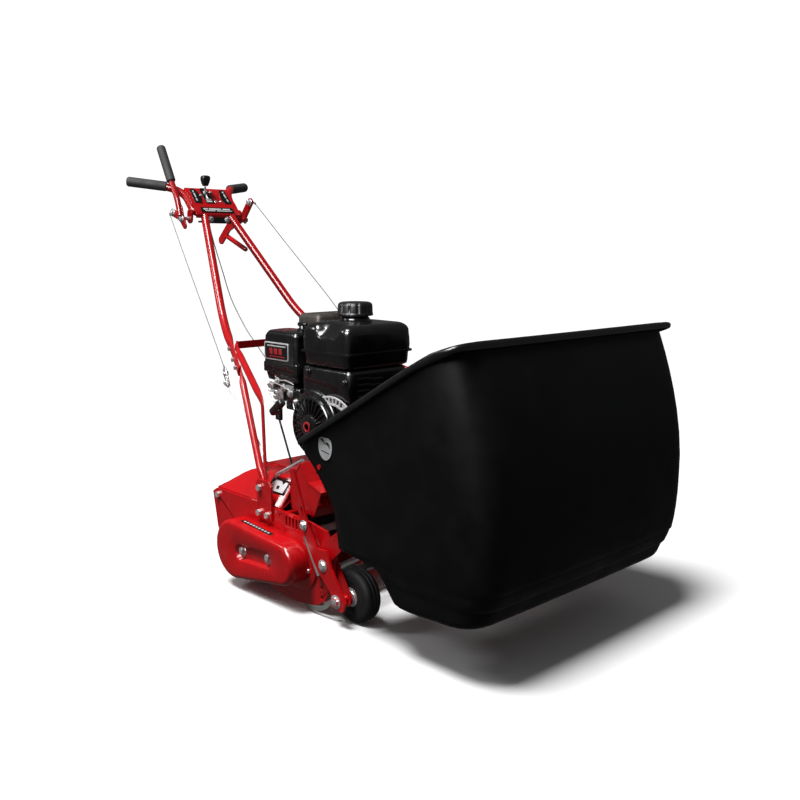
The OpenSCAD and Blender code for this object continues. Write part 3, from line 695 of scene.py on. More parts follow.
def blade_lever_bolts():
    """Cable bolt and pivot bolt of the left lever."""
    bm = bmesh.new()
    bolt(bm, (98, *LEFT_BOLT), TO_LEFT, 12.7, 4, 1.4)
    bolt(bm, (93, *LEFT_BOLT), TO_RIGHT, 12.7, 6, 1.6)
    bolt(bm, (98, *LEVER_C), TO_LEFT, 12.7, 6, 1.6)
    piece("blade_lever_bolts", bm, "zinc", body="blade_lever")


PANEL_HOLE_X = (-16.5, -7.5)


def control_panel():
    """Folded sheet over the cross tube, with a slot, a curled lip and side flanges."""
    bm = bmesh.new()
    profile = [(611, 912), (609.5, 918), (607, 919), (604, 917.6), (589.5, 902.8),
               (578, 890.8), (566, 878.5), (560, 870.5), (556, 865.5), (549, 857.5), (542, 849.5),
               (539.6, 844), (541, 838.5), (545, 836)]
    columns = [-70, -69, -55, -40, -28, *PANEL_HOLE_X, 6, 22, 40, 55, 69, 70]
    rows = []
    for i, (y, z) in enumerate(profile):
        squeeze = 0.93 + 0.07 * min(1.0, i / 7)
        rows.append([Vector((x * (squeeze if abs(x) > 30 else 1), y, z)) for x in columns])
    grid = [[bm.verts.new(p) for p in row] for row in rows]
    hole = columns.index(PANEL_HOLE_X[0])
    for i, (a, b) in enumerate(zip(grid, grid[1:])):
        for k in range(len(columns) - 1):
            if k != hole or i not in (3, 4):
                bm.faces.new((a[k], a[k + 1], b[k + 1], b[k]))
    for k in (0, len(columns) - 1):
        edge = [grid[i][k] for i in range(1, 8)]
        drop = [bm.verts.new(v.co + Vector((0, 6, -9))) for v in edge]
        for i in range(len(edge) - 1):
            bm.faces.new((edge[i], edge[i + 1], drop[i + 1], drop[i]))
    panel = piece("control_panel_sheet", bm, "red", ["control_panel"], crease=40)
    thicken(panel, 2.2)
    edge = panel.modifiers.new("bevel", "BEVEL")
    edge.width = 0.7 * MM
    edge.segments = 2
    edge.angle_limit = radians(50)


def panel_stickers():
    """Printed patches with plain bars, then the rivets and clamp screws."""
    slope = atan2(918.6 - 870.5, 605 - 560)
    turn = Matrix.Translation((0, 582.5, 896)) @ Matrix.Rotation(slope, 4, "X")
    decals = bmesh.new()
    for sign in (-1, 1):
        shape = [(sign * x, v) for x, v in ((56, -26), (59, -22), (55, 24), (51, 27), (40, 27),
                                            (36, 22), (30, -6), (36, -27))]
        sticker(decals, [shape], turn, 0.4, 0.8, 0)
        for u0, u1, v0, v1 in ((51, 46.5, -19, -8), (50, 45.5, -5, 12), (49.5, 45, 14, 22)):
            streak = [(sign * u0, v0), (sign * (u0 - 0.3), v1), (sign * u1, v1 - 1.5),
                      (sign * (u1 + 0.6), v0 + 1)]
            sticker(decals, [streak], turn, 0.5, 1.1, 1)
    slot_shape = fillet([(-24, -26), (4, -26), (0, 26), (-4, 32), (-20, 32), (-24, 26)],
                        4, 4, closed=True)
    hole_shape = [(-15.5, -8), (-8.5, -8), (-8.5, 29.5), (-15.5, 29.5)]
    sticker(decals, [slot_shape, hole_shape], turn, 0.4, 0.8, 0)
    for v0, v1, left in ((-22, -16, -20), (-13, -10, -20), (12, 14, -7.5), (18, 23, -7.5)):
        sticker(decals, [[(left, v0), (-2.5, v0), (-3, v1), (left, v1)]], turn, 0.5, 1.1, 1)
    lip = atan2(865.5 - 849.5, 556 - 542)
    front = Matrix.Translation((0, 548.6, 858.4)) @ Matrix.Rotation(lip, 4, "X")
    band = fillet([(-52, -9), (52, -9), (52, 9), (-52, 9)], 3, 4, closed=True)
    sticker(decals, [band], front, 0.3, 0.8, 0)
    for u0, u1, v0, v1 in ((-44, -30, 0, 5), (-27, 12, 0, 5), (16, 40, 0, 5),
                           (-40, -8, -5, -2), (-4, 44, -5, -2)):
        bar = [(u0, v0), (u1, v0), (u1 + 1.5, v1), (u0 + 1.5, v1)]
        sticker(decals, [bar], front, 0.4, 1.1, 1)
    piece("panel_stickers", decals, ["sticker_black", "sticker_white"], slot="frame_paint")

    fittings = bmesh.new()
    normal = turn.to_3x3() @ Vector(UP)
    for u, v in ((8, 18), (24, -18), (-29, 4), (8, -20)):
        at = turn @ Vector((u, v, 0.2))
        lathe(fittings, [(4.2, 0), (4.2, 0.8), (3.4, 1.9), (1.6, 2.5), (0.1, 2.6)], at, normal,
              20)
    for x in (-26, 26):
        bolt(fittings, (x, 541, 833), (0, -1, 0), 10, 5, 1.2)
    piece("panel_rivets", fittings, "zinc")


def panel_clamp():
    """Clamp plate below the lip of the panel."""
    under = bmesh.new()
    block(under, (-48, 541, 822), (48, 545, 843), 1.2)
    for sign in (-1, 1):
        block(under, (sign * 46 - 6, 541, 824), (sign * 46 + 6, 566, 829), 1.2)
    piece("panel_clamp_plate", under, "enamel")


def throttle_knob():
    """Rounded trapezoid knob on its stem."""
    bm = bmesh.new()
    levels = [(0, 6.0, 5.0), (1.5, 7.6, 6.2), (6, 9.6, 7.6), (14, 12.2, 9.0), (21, 13.2, 9.6),
              (25, 12.4, 9.0), (27.4, 10.2, 7.4), (28.6, 6.5, 4.6), (28.9, 1, 1)]
    rings = []
    for h, a, b in levels:
        ring = []
        for k in range(32):
            t = 2 * pi * k / 32
            c, s = cos(t), sin(t)
            ring.append(Vector((-12 + a * copysign(abs(c) ** 0.55, c),
                                588 + b * copysign(abs(s) ** 0.6, s) - h * 0.1,
                                924.5 + h)))
        rings.append(ring)
    skin(bm, rings)
    piece("throttle_knob_cap", bm, "plastic", ["throttle_knob"], body="throttle", crease=45)


def cables():
    """Smooth control cables with their end fittings."""
    routes = {
        "clutch_cable": ("right_cable", 1.2, [
            (-113, 608, 849), (-114, 604, 842), (-134, 512, 750), (-154, 416, 655),
            (-174, 320, 560), (-193, 228, 467)]),
        "blade_cable": ("left_cable", 1.3, [
            (106, 527, 883), (118.5, 494, 845), (137, 445, 787.5), (156, 395, 730),
            (175, 345, 672.5), (194, 296, 615), (215, 235, 538), (240, 165, 445),
            (266, 100, 320), (287, 54, 210), (299, 26, 150), (301.5, 12.4, 126.2)]),
        "throttle_wire": ("throttle_cable", 1.5, [
            (-12, 586, 855), (-12, 566, 800), (-14, 545, 760), (-20, 500, 692),
            (-30, 445, 620), (-44, 360, 550), (-52, 300, 512), (-60, 230, 470),
            (-62, 150, 430), (-62, 106, 420)]),
    }
    for name, (cad, r, route) in routes.items():
        bm = bmesh.new()
        tube(bm, spline(route, 8), r, 10)
        for end, towards in ((0, 1), (-1, -2)):
            a, b = Vector(route[end]), Vector(route[towards])
            step = (b - a).normalized()
            lathe(bm, [(r + 0.3, 0), (r + 1.3, 0.6), (r + 1.3, 8), (r + 0.5, 9)], a, step, 14)
        piece(name, bm, "cable", [cad], crease=40)


def clutch_spring():
    """Spring, rod, clip and pull rod at the lower end of the clutch cable."""
    bm = bmesh.new()
    top, low = Vector((-193.5, 226, 463)), Vector((-199, 200, 418))
    axis = (low - top).normalized()
    side = axis.cross(Vector((1, 0, 0))).normalized()
    other = axis.cross(side)
    turns, steps = 9, 14
    coil = []
    for k in range(turns * steps + 1):
        t = k / (turns * steps)
        a = 2 * pi * turns * t
        coil.append(top + axis * (7 + 36 * t) + side * (4.6 * cos(a))
                    + other * (4.6 * sin(a)))
    tube(bm, coil, 1.0, 8)
    tube(bm, [top, top + axis * 8], 1.6, 10)
    tube(bm, spline([low - axis * 6, low, (-196, 150, 378), (-215, 70, 330), (-230, 20, 300),
                     (-234, 4, 250)], 8), 1.9, 12)
    block(bm, (-238, -3, 244), (-230, 11, 258), 1.2)
    clip = Matrix.Translation(top.lerp(low, 0.35)) @ Matrix.Rotation(radians(-20), 4, "X")
    block(bm, (-2, -7, -24), (2, 7, 22), 1.6, matrix=clip)
    block(bm, (-9, -5, 4), (6, -1, 14), 1.2, matrix=clip)
    bolt(bm, clip @ Vector((-2, 2, -14)), TO_RIGHT, 10, 5, 1.2)
    tube(bm, fillet([(-222, -20, 240), (-235, -42, 260), (-235, -139, 309)], 8, 5), 3.8, 14)
    piece("clutch_spring", bm, "zinc", ["cable_springs"], crease=45)


handlebar()
clutch_lever()
blade_lever_bolts()
control_panel()
panel_stickers()
panel_clamp()
throttle_knob()
cables()
clutch_spring()


# ---------------------------------------------------------------- struts and chassis

def strut_point(y, z, side, out):
    """A handle-plane point moved outwards by out millimetres."""
    return on_handle(y, z, side) + handle_normal(side) * out


def handle_normal(side):
    """Unit normal of the handle plane, pointing away from the machine."""
    length = sqrt(1 + HANDLE_SLOPE ** 2)
    return Vector((side / length, HANDLE_SLOPE / length, 0))


PRESSED_THINNER = 0.62
PRESSED_WIDER = 0.34


def pressed_tube(bm, path, r, outward, press):
    """Round tube whose section is pressed flat where press(point) rises to 1."""
    fine = []
    for a, b in zip(path, path[1:]):
        cuts = max(1, round((b - a).length / 7))
        fine += [a.lerp(b, k / cuts) for k in range(cuts)]
    fine.append(path[-1])
    rings = []
    for i, p in enumerate(fine):
        step = (fine[min(i + 1, len(fine) - 1)] - fine[max(i - 1, 0)]).normalized()
        side = (outward - step * outward.dot(step)).normalized()
        up = step.cross(side)
        flat = press(p)
        a, b = r * (1 - PRESSED_THINNER * flat), r * (1 + PRESSED_WIDER * flat)
        rings.append([p + side * (a * u) + up * (b * v) for u, v in round_section(1, 44)])
    skin(bm, rings)


def handle_tubes():
    """Two bent tubes whose lower ends are pressed flat for the strut bolts."""
    bm = bmesh.new()
    for sign in (-1, 1):
        path = fillet([on_handle(168, 465, sign), on_handle(340, 571, sign),
                       on_handle(546, 840, sign)], 62, 12)
        pressed_tube(bm, path, TUBE_R, handle_normal(sign),
                     lambda p: 1 - smooth_step((p.y - 228) / 60))
    piece("handle_tube_pair", bm, "red", ["handle_tubes"], crease=50)


def struts():
    """Rear and front braces of the handle, round tube with pressed ends."""
    rear, front = bmesh.new(), bmesh.new()
    for sign in (-1, 1):
        out = handle_normal(sign)
        path = [strut_point(*p, sign, -3) for p in ((-28, 240), (176, 473))]
        pressed_tube(rear, path, REAR_STRUT_R, out,
                     lambda p: max(1 - smooth_step((p.z - 244) / 26),
                                   smooth_step((p.z - 440) / 20)))
        path = fillet([strut_point(*p, sign, -8) for p in ((-34, 233), (-18, 424), (236, 517))],
                      16, 6)
        pressed_tube(front, path, FRONT_STRUT_R, out,
                     lambda p: max(1 - smooth_step((p.z - 418) / 26),
                                   smooth_step((p.z - 500) / 14)))
    piece("rear_strut_pair", rear, "red", ["rear_struts"], crease=50)
    piece("front_strut_pair", front, "red", ["front_struts"], crease=50)


HOOD_SIDE_X = 265.5
HOOD_CREST_X = 170
HOOD_LOW_Z = 198.8


def deck_hood():
    """Hipped sheet over the deck, with rounded rear corners."""
    bm = bmesh.new()
    across = [(0.0, 0.0), (0.04, 0.03), (0.1, 0.1), (0.5, 0.52), (0.9, 0.95), (0.96, 0.99),
              (1.0, 1.0)]
    crown = [(-98, 255, 222), (-40, 255.5, 222), (40, 254, 222), (76, 247, 224), (100, 236, 228),
             (120, 224, 234), (140, 211, 244), (156, 200.5, 256)]
    for sign in (-1, 1):
        rows = []
        for y, z, x in crown:
            row = [Vector((sign * (HOOD_SIDE_X + (x - HOOD_SIDE_X) * u), y,
                           HOOD_LOW_Z + (z - HOOD_LOW_Z) * v))
                   for u, v in across]
            row.append(Vector((sign * HOOD_CREST_X, y, z + 0.4)))
            rows.append(row)
        skin(bm, rows, closed=False, caps=False)
    hood = piece("deck_hood", bm, "red", crease=60)
    thicken(hood, 2.5, 0)


def deck_sticker():
    """Printed patch on the right hip, ahead of the strut."""
    slope = atan2(56, 43)
    turn = Matrix.Translation((-244.5, 0, 228)) @ Matrix.Rotation(-slope, 4, "Y")
    decal = bmesh.new()
    patch = fillet([(-8, -88), (27, -88), (27, -22), (-8, -22)], 4, 4, closed=True)
    sticker(decal, [patch], turn, 1.6, 0.8, 0)
    mark = fillet([(-4, -80), (-4, -34), (12, -28), (22, -38), (22, -60), (14, -66), (22, -72),
                   (22, -82)], 3, 4, closed=True)
    hole = [(2, -60), (10, -60), (10, -50), (2, -50)]
    sticker(decal, [mark, hole], turn, 1.8, 1.1, 1)
    piece("deck_sticker", decal, ["sticker_black", "sticker_white"], slot="frame_paint")


COVER_X = -325
COVER_REAR_R = 67
COVER_FRONT_R = 46
COVER_BOLTS = ((-23, 95), (-121, 103))


def chain_cover():
    """Pressed chain cover with a wide edge radius and a long dimple for its bolts."""
    bm = bmesh.new()
    edge = 11
    rings = [(-271, 0.0), (-290, 0.0), (COVER_X + edge, 0.0)]
    rings += [(COVER_X + edge - edge * sin(radians(a)),
               edge * (1 - cos(radians(a)))) for a in range(12, 91, 13)]
    outline = [[Vector((x, *p)) for p in wrap_loop(DRUM_C, COVER_REAR_R - inset,
                                                   REEL_C, COVER_FRONT_R - inset)]
               for x, inset in rings]
    for x, r in ((COVER_X, 20.5), (COVER_X + 0.8, 18.6), (COVER_X + 9, 15.0),
                 (COVER_X + 9.8, 13.4)):
        outline.append([Vector((x, *p)) for p in wrap_loop(COVER_BOLTS[0], r, COVER_BOLTS[1], r)])
    grid = skin(bm, outline, caps=False)
    bm.faces.new(grid[-1])
    shell = piece("chain_cover_shell", bm, "red", ["chain_cover"], crease=50)
    thicken(shell, 1.6)

    fittings = bmesh.new()
    for y, z in COVER_BOLTS:
        bolt(fittings, (COVER_X + 9.6, y, z), TO_RIGHT, 13, 6, 1.6)
    bolt(fittings, (-276, -76, 46), TO_RIGHT, 10, 5, 1.4)
    piece("chain_cover_bolts", fittings, "zinc")


def chain_cover_sticker():
    """Printed strip along the sloping top of the chain cover."""
    a, b = Vector(DRUM_C), Vector(REEL_C)
    lean = atan2((b - a).y, (b - a).x)
    tilt = lean - acos((COVER_REAR_R - COVER_FRONT_R) / (b - a).length)
    normal = Vector((cos(tilt), sin(tilt)))
    start, end = a + normal * (COVER_REAR_R + 0.1), b + normal * (COVER_FRONT_R + 0.1)
    edge = (end - start).normalized()
    p = start + edge * 12
    turn = Matrix(((1, 0, 0, 0), (0, edge.x, normal.x, p.x), (0, edge.y, normal.y, p.y),
                   (0, 0, 0, 1)))
    strip = bmesh.new()
    block(strip, (-309, 0, -0.5), (-296, 112, 0.6), 0.4, material=0, matrix=turn)
    for k in range(9):
        block(strip, (-305, 8 + 11 * k, 0.2), (-300, 14 + 11 * k, 0.9), 0.3, material=1,
              matrix=turn)
    piece("chain_cover_sticker", strip, ["sticker_black", "sticker_silver"], slot="frame_paint")


def bearing_dish():
    """Pressed housing of the reel bearing, seen behind the chain cover."""
    bm = bmesh.new()
    profile = [(20, 0), (66, 0), (66, 2.5), (64.5, 4.2), (60, 5), (56, 6.6), (48, 6.6), (20, 6.6)]
    for sign in (-1, 1):
        lathe(bm, profile, (sign * (SIDE_X + 0.2), *REEL_C), (sign, 0, 0), 64)
    piece("bearing_dish_pair", bm, "red", crease=30)
    bolts = bmesh.new()
    for sign in (-1, 1):
        bolt(bolts, (sign * 275, -207, 92), (sign, 0, 0), 11, 5, 1.2)
    piece("bearing_dish_bolts", bolts, "zinc")


def arm_fittings():
    """Nuts on the height arms and the wheel axles."""
    for sign, body in ((-1, "arm_right"), (1, "arm_left")):
        bm = bmesh.new()
        for y, z, af in ((*WHEEL_C, 17), (*ARM_PIVOT, 15)):
            bolt(bm, (sign * 287.5, y, z), (sign, 0, 0), af, 4, 0.6)
        if sign < 0:
            bolt(bm, (-288, -208, 192), TO_RIGHT, 13, 5, 1.2)
        side = "right" if sign < 0 else "left"
        piece("height_arm_nuts_" + side, bm, "zinc", body=body)


def wheels():
    """Moulded tyre and turned hub of each front wheel."""
    half = [(20, 18), (33, 18.6), (35, 20), (45, 20), (50.5, 18.6), (54.4, 15), (56, 10),
            (56, 7), (55.2, 6), (55.2, 3), (56, 2)]
    tread = [(r, -h) for r, h in half] + [(r, h) for r, h in reversed(half)]
    ring = [(7, -20.6), (14, -20.6), (15, -19), (18.4, -19), (19.8, -18.2), (19.8, 18.2),
            (18.4, 19), (15, 19), (14, 20.6), (7, 20.6)]
    for sign, side in ((-1, "right"), (1, "left")):
        bm = bmesh.new()
        lathe(bm, tread, (sign * WHEEL_X, *WHEEL_C), TO_LEFT, 64)
        piece("wheel_tyre_" + side, bm, "tyre", ["tyre_" + side], body="wheel_" + side)
        bm = bmesh.new()
        lathe(bm, ring, (sign * WHEEL_X, *WHEEL_C), TO_LEFT, 48)
        piece("wheel_hub_" + side, bm, "zinc", ["hub_" + side], body="wheel_" + side)


def link_straps():
    """Reel-lift link rod and the curved strap behind the lower edge."""
    bm = bmesh.new()
    tube(bm, [(-281, -204, 166), (-279, -246, 92)], 4.4, 14)
    sweep(bm, spline([(-279, -310, 50), (-278, -285, 46), (-274, -255, 24), (-273, -225, 13),
                      (-273, -196, 10)], 6),
          [(-1.2, -5), (1.2, -5), (1.2, 5), (-1.2, 5)], side=TO_LEFT)
    piece("lift_link", bm, "cable", slot="zinc", crease=40)


handle_tubes()
struts()
deck_hood()
deck_sticker()
chain_cover()
chain_cover_sticker()
bearing_dish()
arm_fittings()
wheels()
link_straps()


# ---------------------------------------------------------------- engine

def pillow(bm, levels, tweak=None):
    """Stack of rounded rectangles (z, x0, x1, y0, y1, r) joined into one closed body."""
    sides, corner = 14, 7
    rings = []
    for z, x0, x1, y0, y1, r in levels:
        ring = []
        turns = ((x1 - r, y0 + r, -90), (x1 - r, y1 - r, 0), (x0 + r, y1 - r, 90),
                 (x0 + r, y0 + r, 180))
        for i, (cx, cy, start) in enumerate(turns):
            for k in range(corner + 1):
                a = radians(start + 90 * k / corner)
                ring.append(Vector((cx + r * cos(a), cy + r * sin(a), z)))
            nx, ny, after = turns[(i + 1) % 4]
            a = radians(after)
            goal = Vector((nx + r * cos(a), ny + r * sin(a), z))
            here = ring[-1].copy()
            ring += [here.lerp(goal, k / sides) for k in range(1, sides)]
        rings.append([tweak(p) for p in ring] if tweak else ring)
    skin(bm, rings)


def grown(box, by):
    """A plan rectangle (x0, x1, y0, y1) grown outwards."""
    return (box[0] - by, box[1] + by, box[2] - by, box[3] + by)


TANK = (-160, 30, -203, -35)
CAP_C = (-46, -92)


def tank_scoop(p):
    """Finger recess in the top edge of the tank's right side."""
    along_y = smooth_step((p.y + 172) / 16) * (1 - smooth_step((p.y + 106) / 22))
    across_x = 1 - smooth_step((p.x + 150) / 34)
    high = smooth_step((p.z - 560) / 30)
    return Vector((p.x + 3 * along_y * across_x * high, p.y,
                   p.z - 19 * along_y * across_x * high))


def fuel_tank():
    """Two-part moulded tank with a seam flange, a crowned top and a scoop."""
    bm = bmesh.new()
    levels = [(499, *grown(TANK, -16), 16), (500, *grown(TANK, -9), 20), (503, *grown(TANK, -5), 18),
              (510, *grown(TANK, -3.5), 20), (527, *grown(TANK, -2.5), 20)]
    levels += [(529.5, *grown(TANK, -2), 20), (530, *grown(TANK, 4), 22), (534, *grown(TANK, 4), 22),
               (534.5, *grown(TANK, -0.6), 20), (545, *grown(TANK, 0), 20),
               (560, *grown(TANK, -0.5), 20), (572, *grown(TANK, -1.5), 20)]
    for a in range(12, 91, 11):
        inset = 1.5 + 20 * (1 - cos(radians(a)))
        levels.append((574 + 20 * sin(radians(a)), *grown(TANK, -inset),
                       20 - 0.1 * inset))
    levels += [(595.5, *grown(TANK, -32), 20), (597, *grown(TANK, -44), 16),
               (598, *grown(TANK, -58), 12), (598.4, *grown(TANK, -74), 6)]
    pillow(bm, levels, tank_scoop)
    lathe(bm, [(33, -4), (33, 2), (30, 5), (27, 6), (27, 9)], (*CAP_C, 598), UP, 48)
    piece("fuel_tank_shell", bm, "enamel", ["fuel_tank"], crease=50)

    bm = bmesh.new()
    n = 96

    def lobed(r, depth):
        """Radii round the cap with twelve grip notches."""
        return [r - depth * max(0.0, cos(12 * 2 * pi * k / n)) ** 3 for k in range(n)]

    profile = [(lobed(39, 0), 0), (lobed(40.6, 0), 1.4), (lobed(40.6, 0), 5), (lobed(39.6, 1), 6),
               (lobed(39.6, 3), 8), (lobed(39.2, 3), 22), (lobed(38.2, 2.4), 26),
               (lobed(35.5, 1), 29), (lobed(31, 0), 30.6), (lobed(20, 0), 31), (lobed(1, 0), 31)]
    lathe(bm, profile, (*CAP_C, 605.8), UP, n)
    piece("fuel_cap_moulding", bm, "plastic", ["fuel_cap"], body="tank_cap", crease=50)


SHROUD = (-156, 18, -201, -30)


def shroud():
    """Sheet shroud below the tank, with cooling ribs and the round blower housing."""
    bm = bmesh.new()
    lower = (-150, 8, -198, -62)
    levels = [(336, *grown(lower, -10), 10), (338, *grown(lower, -4), 12), (344, *lower, 14),
              (414, *lower, 14), (420, *grown(lower, 2), 14), (425, *grown(SHROUD, -2), 16),
              (428, *SHROUD, 16), (489, *SHROUD, 16), (495, *grown(SHROUD, -2), 16),
              (498, *grown(SHROUD, -7), 12)]
    pillow(bm, levels)
    lathe(bm, [(20, 0), (74, 0), (78, 3), (80, 9), (80, 52), (20, 52)], (-162, -82, 368),
          TO_LEFT, 72)
    piece("engine_shroud", bm, "enamel", ["blower_housing"], crease=50)

    ribs = bmesh.new()
    for z in (480, 467, 454, 441):
        path = [(-132, -201, z), (-104, -201, z), (-92, -201, z - 3), (-62, -201, z - 3)]
        sweep(ribs, fillet(path, 8, 5), round_section(2.6, 12))
    piece("shroud_ribs", ribs, "enamel", crease=50)
    bolts = bmesh.new()
    for y, z in ((-187, 473), (-60, 486)):
        bolt(bolts, (-157, y, z), TO_RIGHT, 9, 4, 1.5)
    piece("shroud_bolts", bolts, "plastic", slot="engine_black")


def recoil():
    """Recoil starter cover with radial vanes and a bright slotted louvre, its brightness a painted
    reflection.
    """
    bm = bmesh.new()
    at = (-162, *CRANK_C)
    lathe(bm, [(10, 0), (67, 0), (67, 5), (65, 7), (61, 7), (60, 4), (12, 4)], at, TO_RIGHT, 72)
    lathe(bm, [(27, 2), (27, 9), (25, 13), (18, 15.4), (10, 16), (0.1, 16)], at, TO_RIGHT, 48)
    for k in range(26):
        a = 2 * pi * k / 26
        turn = Matrix.Translation(at) @ Matrix.Rotation(a, 4, "X")
        block(bm, (-10, -1.8, 25), (-1, 1.8, 62), 1.2, 2, matrix=turn)
    piece("recoil_cover_vanes", bm, "enamel", ["recoil_cover"], crease=40)

    bm = bmesh.new()
    lathe(bm, [(11.5, 0), (11.5, 1.2), (7.5, 1.4), (7.5, 0)], (-178, *CRANK_C), TO_RIGHT, 36)
    piece("recoil_ring", bm, "sticker_red", slot="engine_black")

    centre = Vector((-145, 345))

    def arc(r0, r1, a0, a1, steps=10):
        """Outline of a ring segment about the louvre's centre."""
        span = [radians(a0 + (a1 - a0) * k / steps) for k in range(steps + 1)]
        return ([centre + Vector((r1 * cos(a), r1 * sin(a))) for a in span]
                + [centre + Vector((r0 * cos(a), r0 * sin(a))) for a in reversed(span)])

    # Painted reflection: the metal louvre is drawn in plain white to stand in for the light it
    # reflects.
    louvre = bmesh.new()
    slots = [arc(80, 91, a, a + 4.6, 2) for a in range(63, 118, 8)]
    plate(louvre, [arc(75, 95, 59, 124)] + slots, 3, facing_x(-160), 0.5)
    piece("recoil_louvre", louvre, "sticker_white", slot="zinc")


def starter_grip():
    """Moulded pull grip, parked on its rope guide behind the starter."""
    bm = bmesh.new()
    turn = Matrix.Translation((-184, 23, 397)) @ Matrix.Rotation(radians(-38), 4, "X")
    block(bm, (-9, -27, -9), (9, 27, 9), 6, 4, matrix=turn)
    block(bm, (-6, -7, -14), (6, 7, -6), 3, 3, matrix=turn)
    piece("starter_grip_moulding", bm, "plastic", ["starter_handle"], body="starter_grip",
          crease=40)


def air_cleaner():
    """Moulded air cleaner cover on its base, with a label plate and wing knob."""
    box = (-160, -72, -18, 116)
    bm = bmesh.new()

    def chamfer(p):
        """Cuts the rear top edge of the cover."""
        cut = max(0.0, (p.y - 96) / 20) * smooth_step((p.z - 548) / 20)
        return Vector((p.x, p.y - 6 * cut, p.z - 12 * cut))

    levels = [(470, *grown(box, -3), 8), (472, *grown(box, -0.5), 10), (480, *box, 12),
              (492, *box, 12), (494, *grown(box, -2), 12), (554, *grown(box, -3), 13)]
    for a in range(15, 91, 15):
        inset = 3 + 12 * (1 - cos(radians(a)))
        levels.append((556 + 12 * sin(radians(a)), *grown(box, -inset), 13))
    levels += [(569.4, *grown(box, -26), 8), (570, *grown(box, -38), 3)]
    pillow(bm, levels, chamfer)
    pillow(bm, [(448, *grown(box, -18), 8), (452, *grown(box, -9), 8), (466, *grown(box, -6), 8),
                (470, *grown(box, -6), 8)])
    lathe(bm, [(13, 0), (13, 4), (9, 6), (7, 10), (7, 17), (5, 18)], (-116, 12, 569), UP,
          32)
    block(bm, (-121, -4, 578), (-111, 28, 588), 4)
    piece("air_cleaner_cover", bm, "enamel", ["air_cleaner"], crease=45)

    label = bmesh.new()
    border = fillet([(11, 500), (101, 500), (105, 506), (105, 541), (11, 541)], 5, 5, closed=True)
    inner = fillet([(14, 503), (99, 503), (102, 508), (102, 538), (14, 538)], 4, 5, closed=True)
    plate(label, [border], 2.4, facing_x(-158.2), 0.4, 0)
    plate(label, [inner], 2.8, facing_x(-158.4), 0.3, 1)
    plate(label, [[(20, 531), (92, 531), (92, 534), (20, 534)]], 3.4, facing_x(-158.6), 0.2, 0)
    plate(label, [[(24, 507), (84, 507), (84, 509), (24, 509)]], 3.4, facing_x(-158.6), 0.2, 2)
    for y in (34, 52, 70):
        bar = fillet([(y, 513), (y + 12, 513), (y + 15, 527), (y + 3, 527)], 2, 3, closed=True)
        plate(label, [bar], 3.6, facing_x(-158.6), 0.3, 2)
    piece("air_cleaner_label", label, ["sticker_silver", "sticker_black", "sticker_red"],
          slot="engine_black")


def muffler():
    """Guard with rolled edges and slots round the exhaust box."""
    bm = bmesh.new()
    box = (-58, 92, 28, 110)
    pillow(bm, [(500, *grown(box, -1), 8), (501, *box, 9), (592, *box, 9), (597, *grown(box, -2), 9),
                (600, *grown(box, -6), 7), (601.6, *grown(box, -12), 5), (602, *grown(box, -24), 3)])
    for x in range(-46, 84, 16):
        block(bm, (x, 27, 516), (x + 8, 29.5, 588), 1)
    for y in range(40, 100, 14):
        block(bm, (-59.5, y, 516), (-57, y + 7, 588), 1)
    tube(bm, spline([(0, 34, 452), (0, 46, 490), (0, 60, 515)], 6), 12, 24)
    piece("muffler_guard", bm, "heat", ["muffler"], crease=40)


def carburettor():
    """Carburettor body, throttle plate, links and screws below the air cleaner."""
    dark, bright = bmesh.new(), bmesh.new()
    block(dark, (-150, 20, 404), (-96, 74, 452), 4)
    block(dark, (-156, -24, 388), (-112, 30, 440), 5)
    lathe(dark, [(12, 0), (16, 2), (16, 26), (12, 28)], (-126, 92, 412), UP, 32)
    block(dark, (-158, 6, 428), (-150, 84, 446), 2)
    for y, z, af in ((84, 438, 12), (58, 452, 9), (34, 438, 11), (8, 428, 12), (-12, 410, 9),
                     (64, 414, 10), (40, 402, 8)):
        bolt(bright, (-157, y, z), TO_RIGHT, af, 5, 1.2)
    links = ([(-163, 92, 440), (-164, 60, 447), (-163, 24, 440), (-162, -6, 432)],
             [(-162, 60, 462), (-164, 42, 456), (-162, 14, 456), (-161, -10, 450)],
             [(-160, 88, 420), (-162, 72, 404), (-161, 52, 396)],
             [(-158, -2, 404), (-161, -14, 388), (-160, -18, 372)])
    for path in links:
        tube(bright, spline(path, 6), 1.4, 10)
    coil = [Vector((-164 + 3.2 * cos(a * 0.9), 84 - a * 0.62, 428 + 3.2 * sin(a * 0.9)))
            for a in range(0, 60)]
    tube(bright, coil, 0.7, 6)
    block(bright, (-160, 34, 408), (-157, 52, 434), 1)
    block(bright, (-160, -6, 436), (-157, 22, 446), 1)
    tube(dark, [(-160, 52, 365), (-160, 4, 262)], 2.4, 12)
    block(dark, (-164, 40, 360), (-156, 62, 404), 3)
    piece("carburettor_body", dark, "enamel", crease=40)
    piece("carburettor_links", bright, "zinc", crease=40)


fuel_tank()
shroud()
recoil()
starter_grip()
air_cleaner()
muffler()
carburettor()


# ---------------------------------------------------------------- studio

LIGHT_TARGET = (0, 0.2, 0.6)
SUN_FROM = (-0.34, 0.05, 1.0)
CAMERA_AT = (-1.353, -1.6419, 0.758)
CAMERA_TILT = 80.3
CAMERA_TURN = -43
CAMERA_LENS = 40.27


def area_light(name, at, size, power, glint=False):
    """A square softbox aimed at the mower; a glint box shows in reflections only."""
    lamp = bpy.data.lights.new(name, "AREA")
    lamp.size = size
    lamp.energy = power
    obj = bpy.data.objects.new(name, lamp)
    obj.location = at
    obj.visible_diffuse = not glint
    obj.rotation_euler = (Vector(LIGHT_TARGET) - Vector(at)).to_track_quat("-Z", "Y").to_euler()
    bpy.context.scene.collection.objects.link(obj)


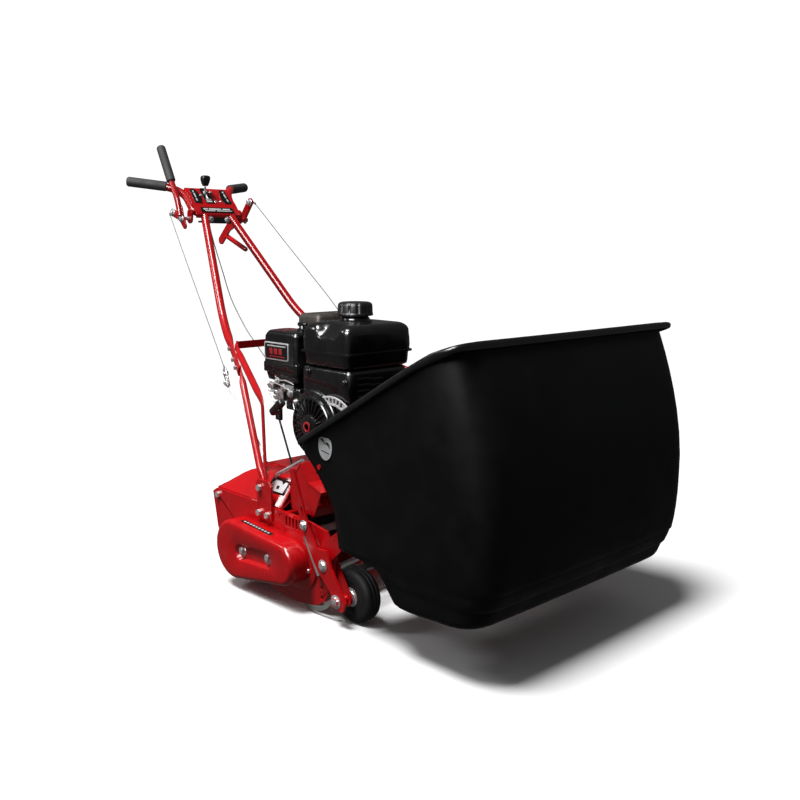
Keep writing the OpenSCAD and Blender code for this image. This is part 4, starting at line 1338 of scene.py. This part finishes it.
def studio_floor():
    """Pale seamless floor, left out of reflections and bounced light."""
    bm = bmesh.new()
    bmesh.ops.create_grid(bm, x_segments=2, y_segments=2, size=30)
    mesh = bpy.data.meshes.new("floor")
    bm.to_mesh(mesh)
    bm.free()
    floor = bpy.data.objects.new("floor", mesh)
    bpy.context.scene.collection.objects.link(floor)
    paper = bpy.data.materials.new("floor_paper")
    paper.use_nodes = True
    shader = paper.node_tree.nodes["Principled BSDF"]
    shader.inputs["Base Color"].default_value = (1.0, 1.0, 1.0, 1)
    shader.inputs["Roughness"].default_value = 0.7
    mesh.materials.append(paper)
    floor.visible_glossy = False
    floor.visible_diffuse = False


def studio_world():
    """White behind the object, and a faint fill on it."""
    world = bpy.data.worlds.new("studio")
    world.use_nodes = True
    bpy.context.scene.world = world
    tree = world.node_tree
    lit = tree.nodes["Background"]
    lit.inputs["Color"].default_value = (1, 1, 1, 1)
    lit.inputs["Strength"].default_value = 0.10
    seen = node(tree, "ShaderNodeBackground", Color=(1, 1, 1, 1), Strength=1.1)
    choose = node(tree, "ShaderNodeMixShader")
    path = node(tree, "ShaderNodeLightPath")
    tree.links.new(path.outputs["Is Camera Ray"], choose.inputs["Fac"])
    tree.links.new(lit.outputs["Background"], choose.inputs[1])
    tree.links.new(seen.outputs["Background"], choose.inputs[2])
    tree.links.new(choose.outputs["Shader"], tree.nodes["World Output"].inputs["Surface"])


def studio_lights():
    """Broad key light from above, a softbox behind and one for highlights."""
    sun = bpy.data.lights.new("key", "SUN")
    sun.energy = 3.55
    sun.angle = radians(18)
    obj = bpy.data.objects.new("key", sun)
    obj.rotation_euler = Vector(SUN_FROM).to_track_quat("Z", "Y").to_euler()
    bpy.context.scene.collection.objects.link(obj)
    area_light("rear_box", (-1.5, 1.3, 1.7), size=0.5, power=10)
    area_light("tube_glint", (-1.9, -0.6, 1.9), size=1.2, power=130, glint=True)


def studio_camera():
    """Camera at the photograph's angle."""
    camera = bpy.data.cameras.new("camera")
    camera.lens = CAMERA_LENS
    camera.sensor_width = 36
    obj = bpy.data.objects.new("camera", camera)
    obj.location = CAMERA_AT
    obj.rotation_euler = (radians(CAMERA_TILT), 0, radians(CAMERA_TURN))
    bpy.context.scene.collection.objects.link(obj)
    bpy.context.scene.camera = obj
    bpy.context.scene.view_settings.view_transform = "Standard"


studio_floor()
studio_world()
studio_lights()
studio_camera()
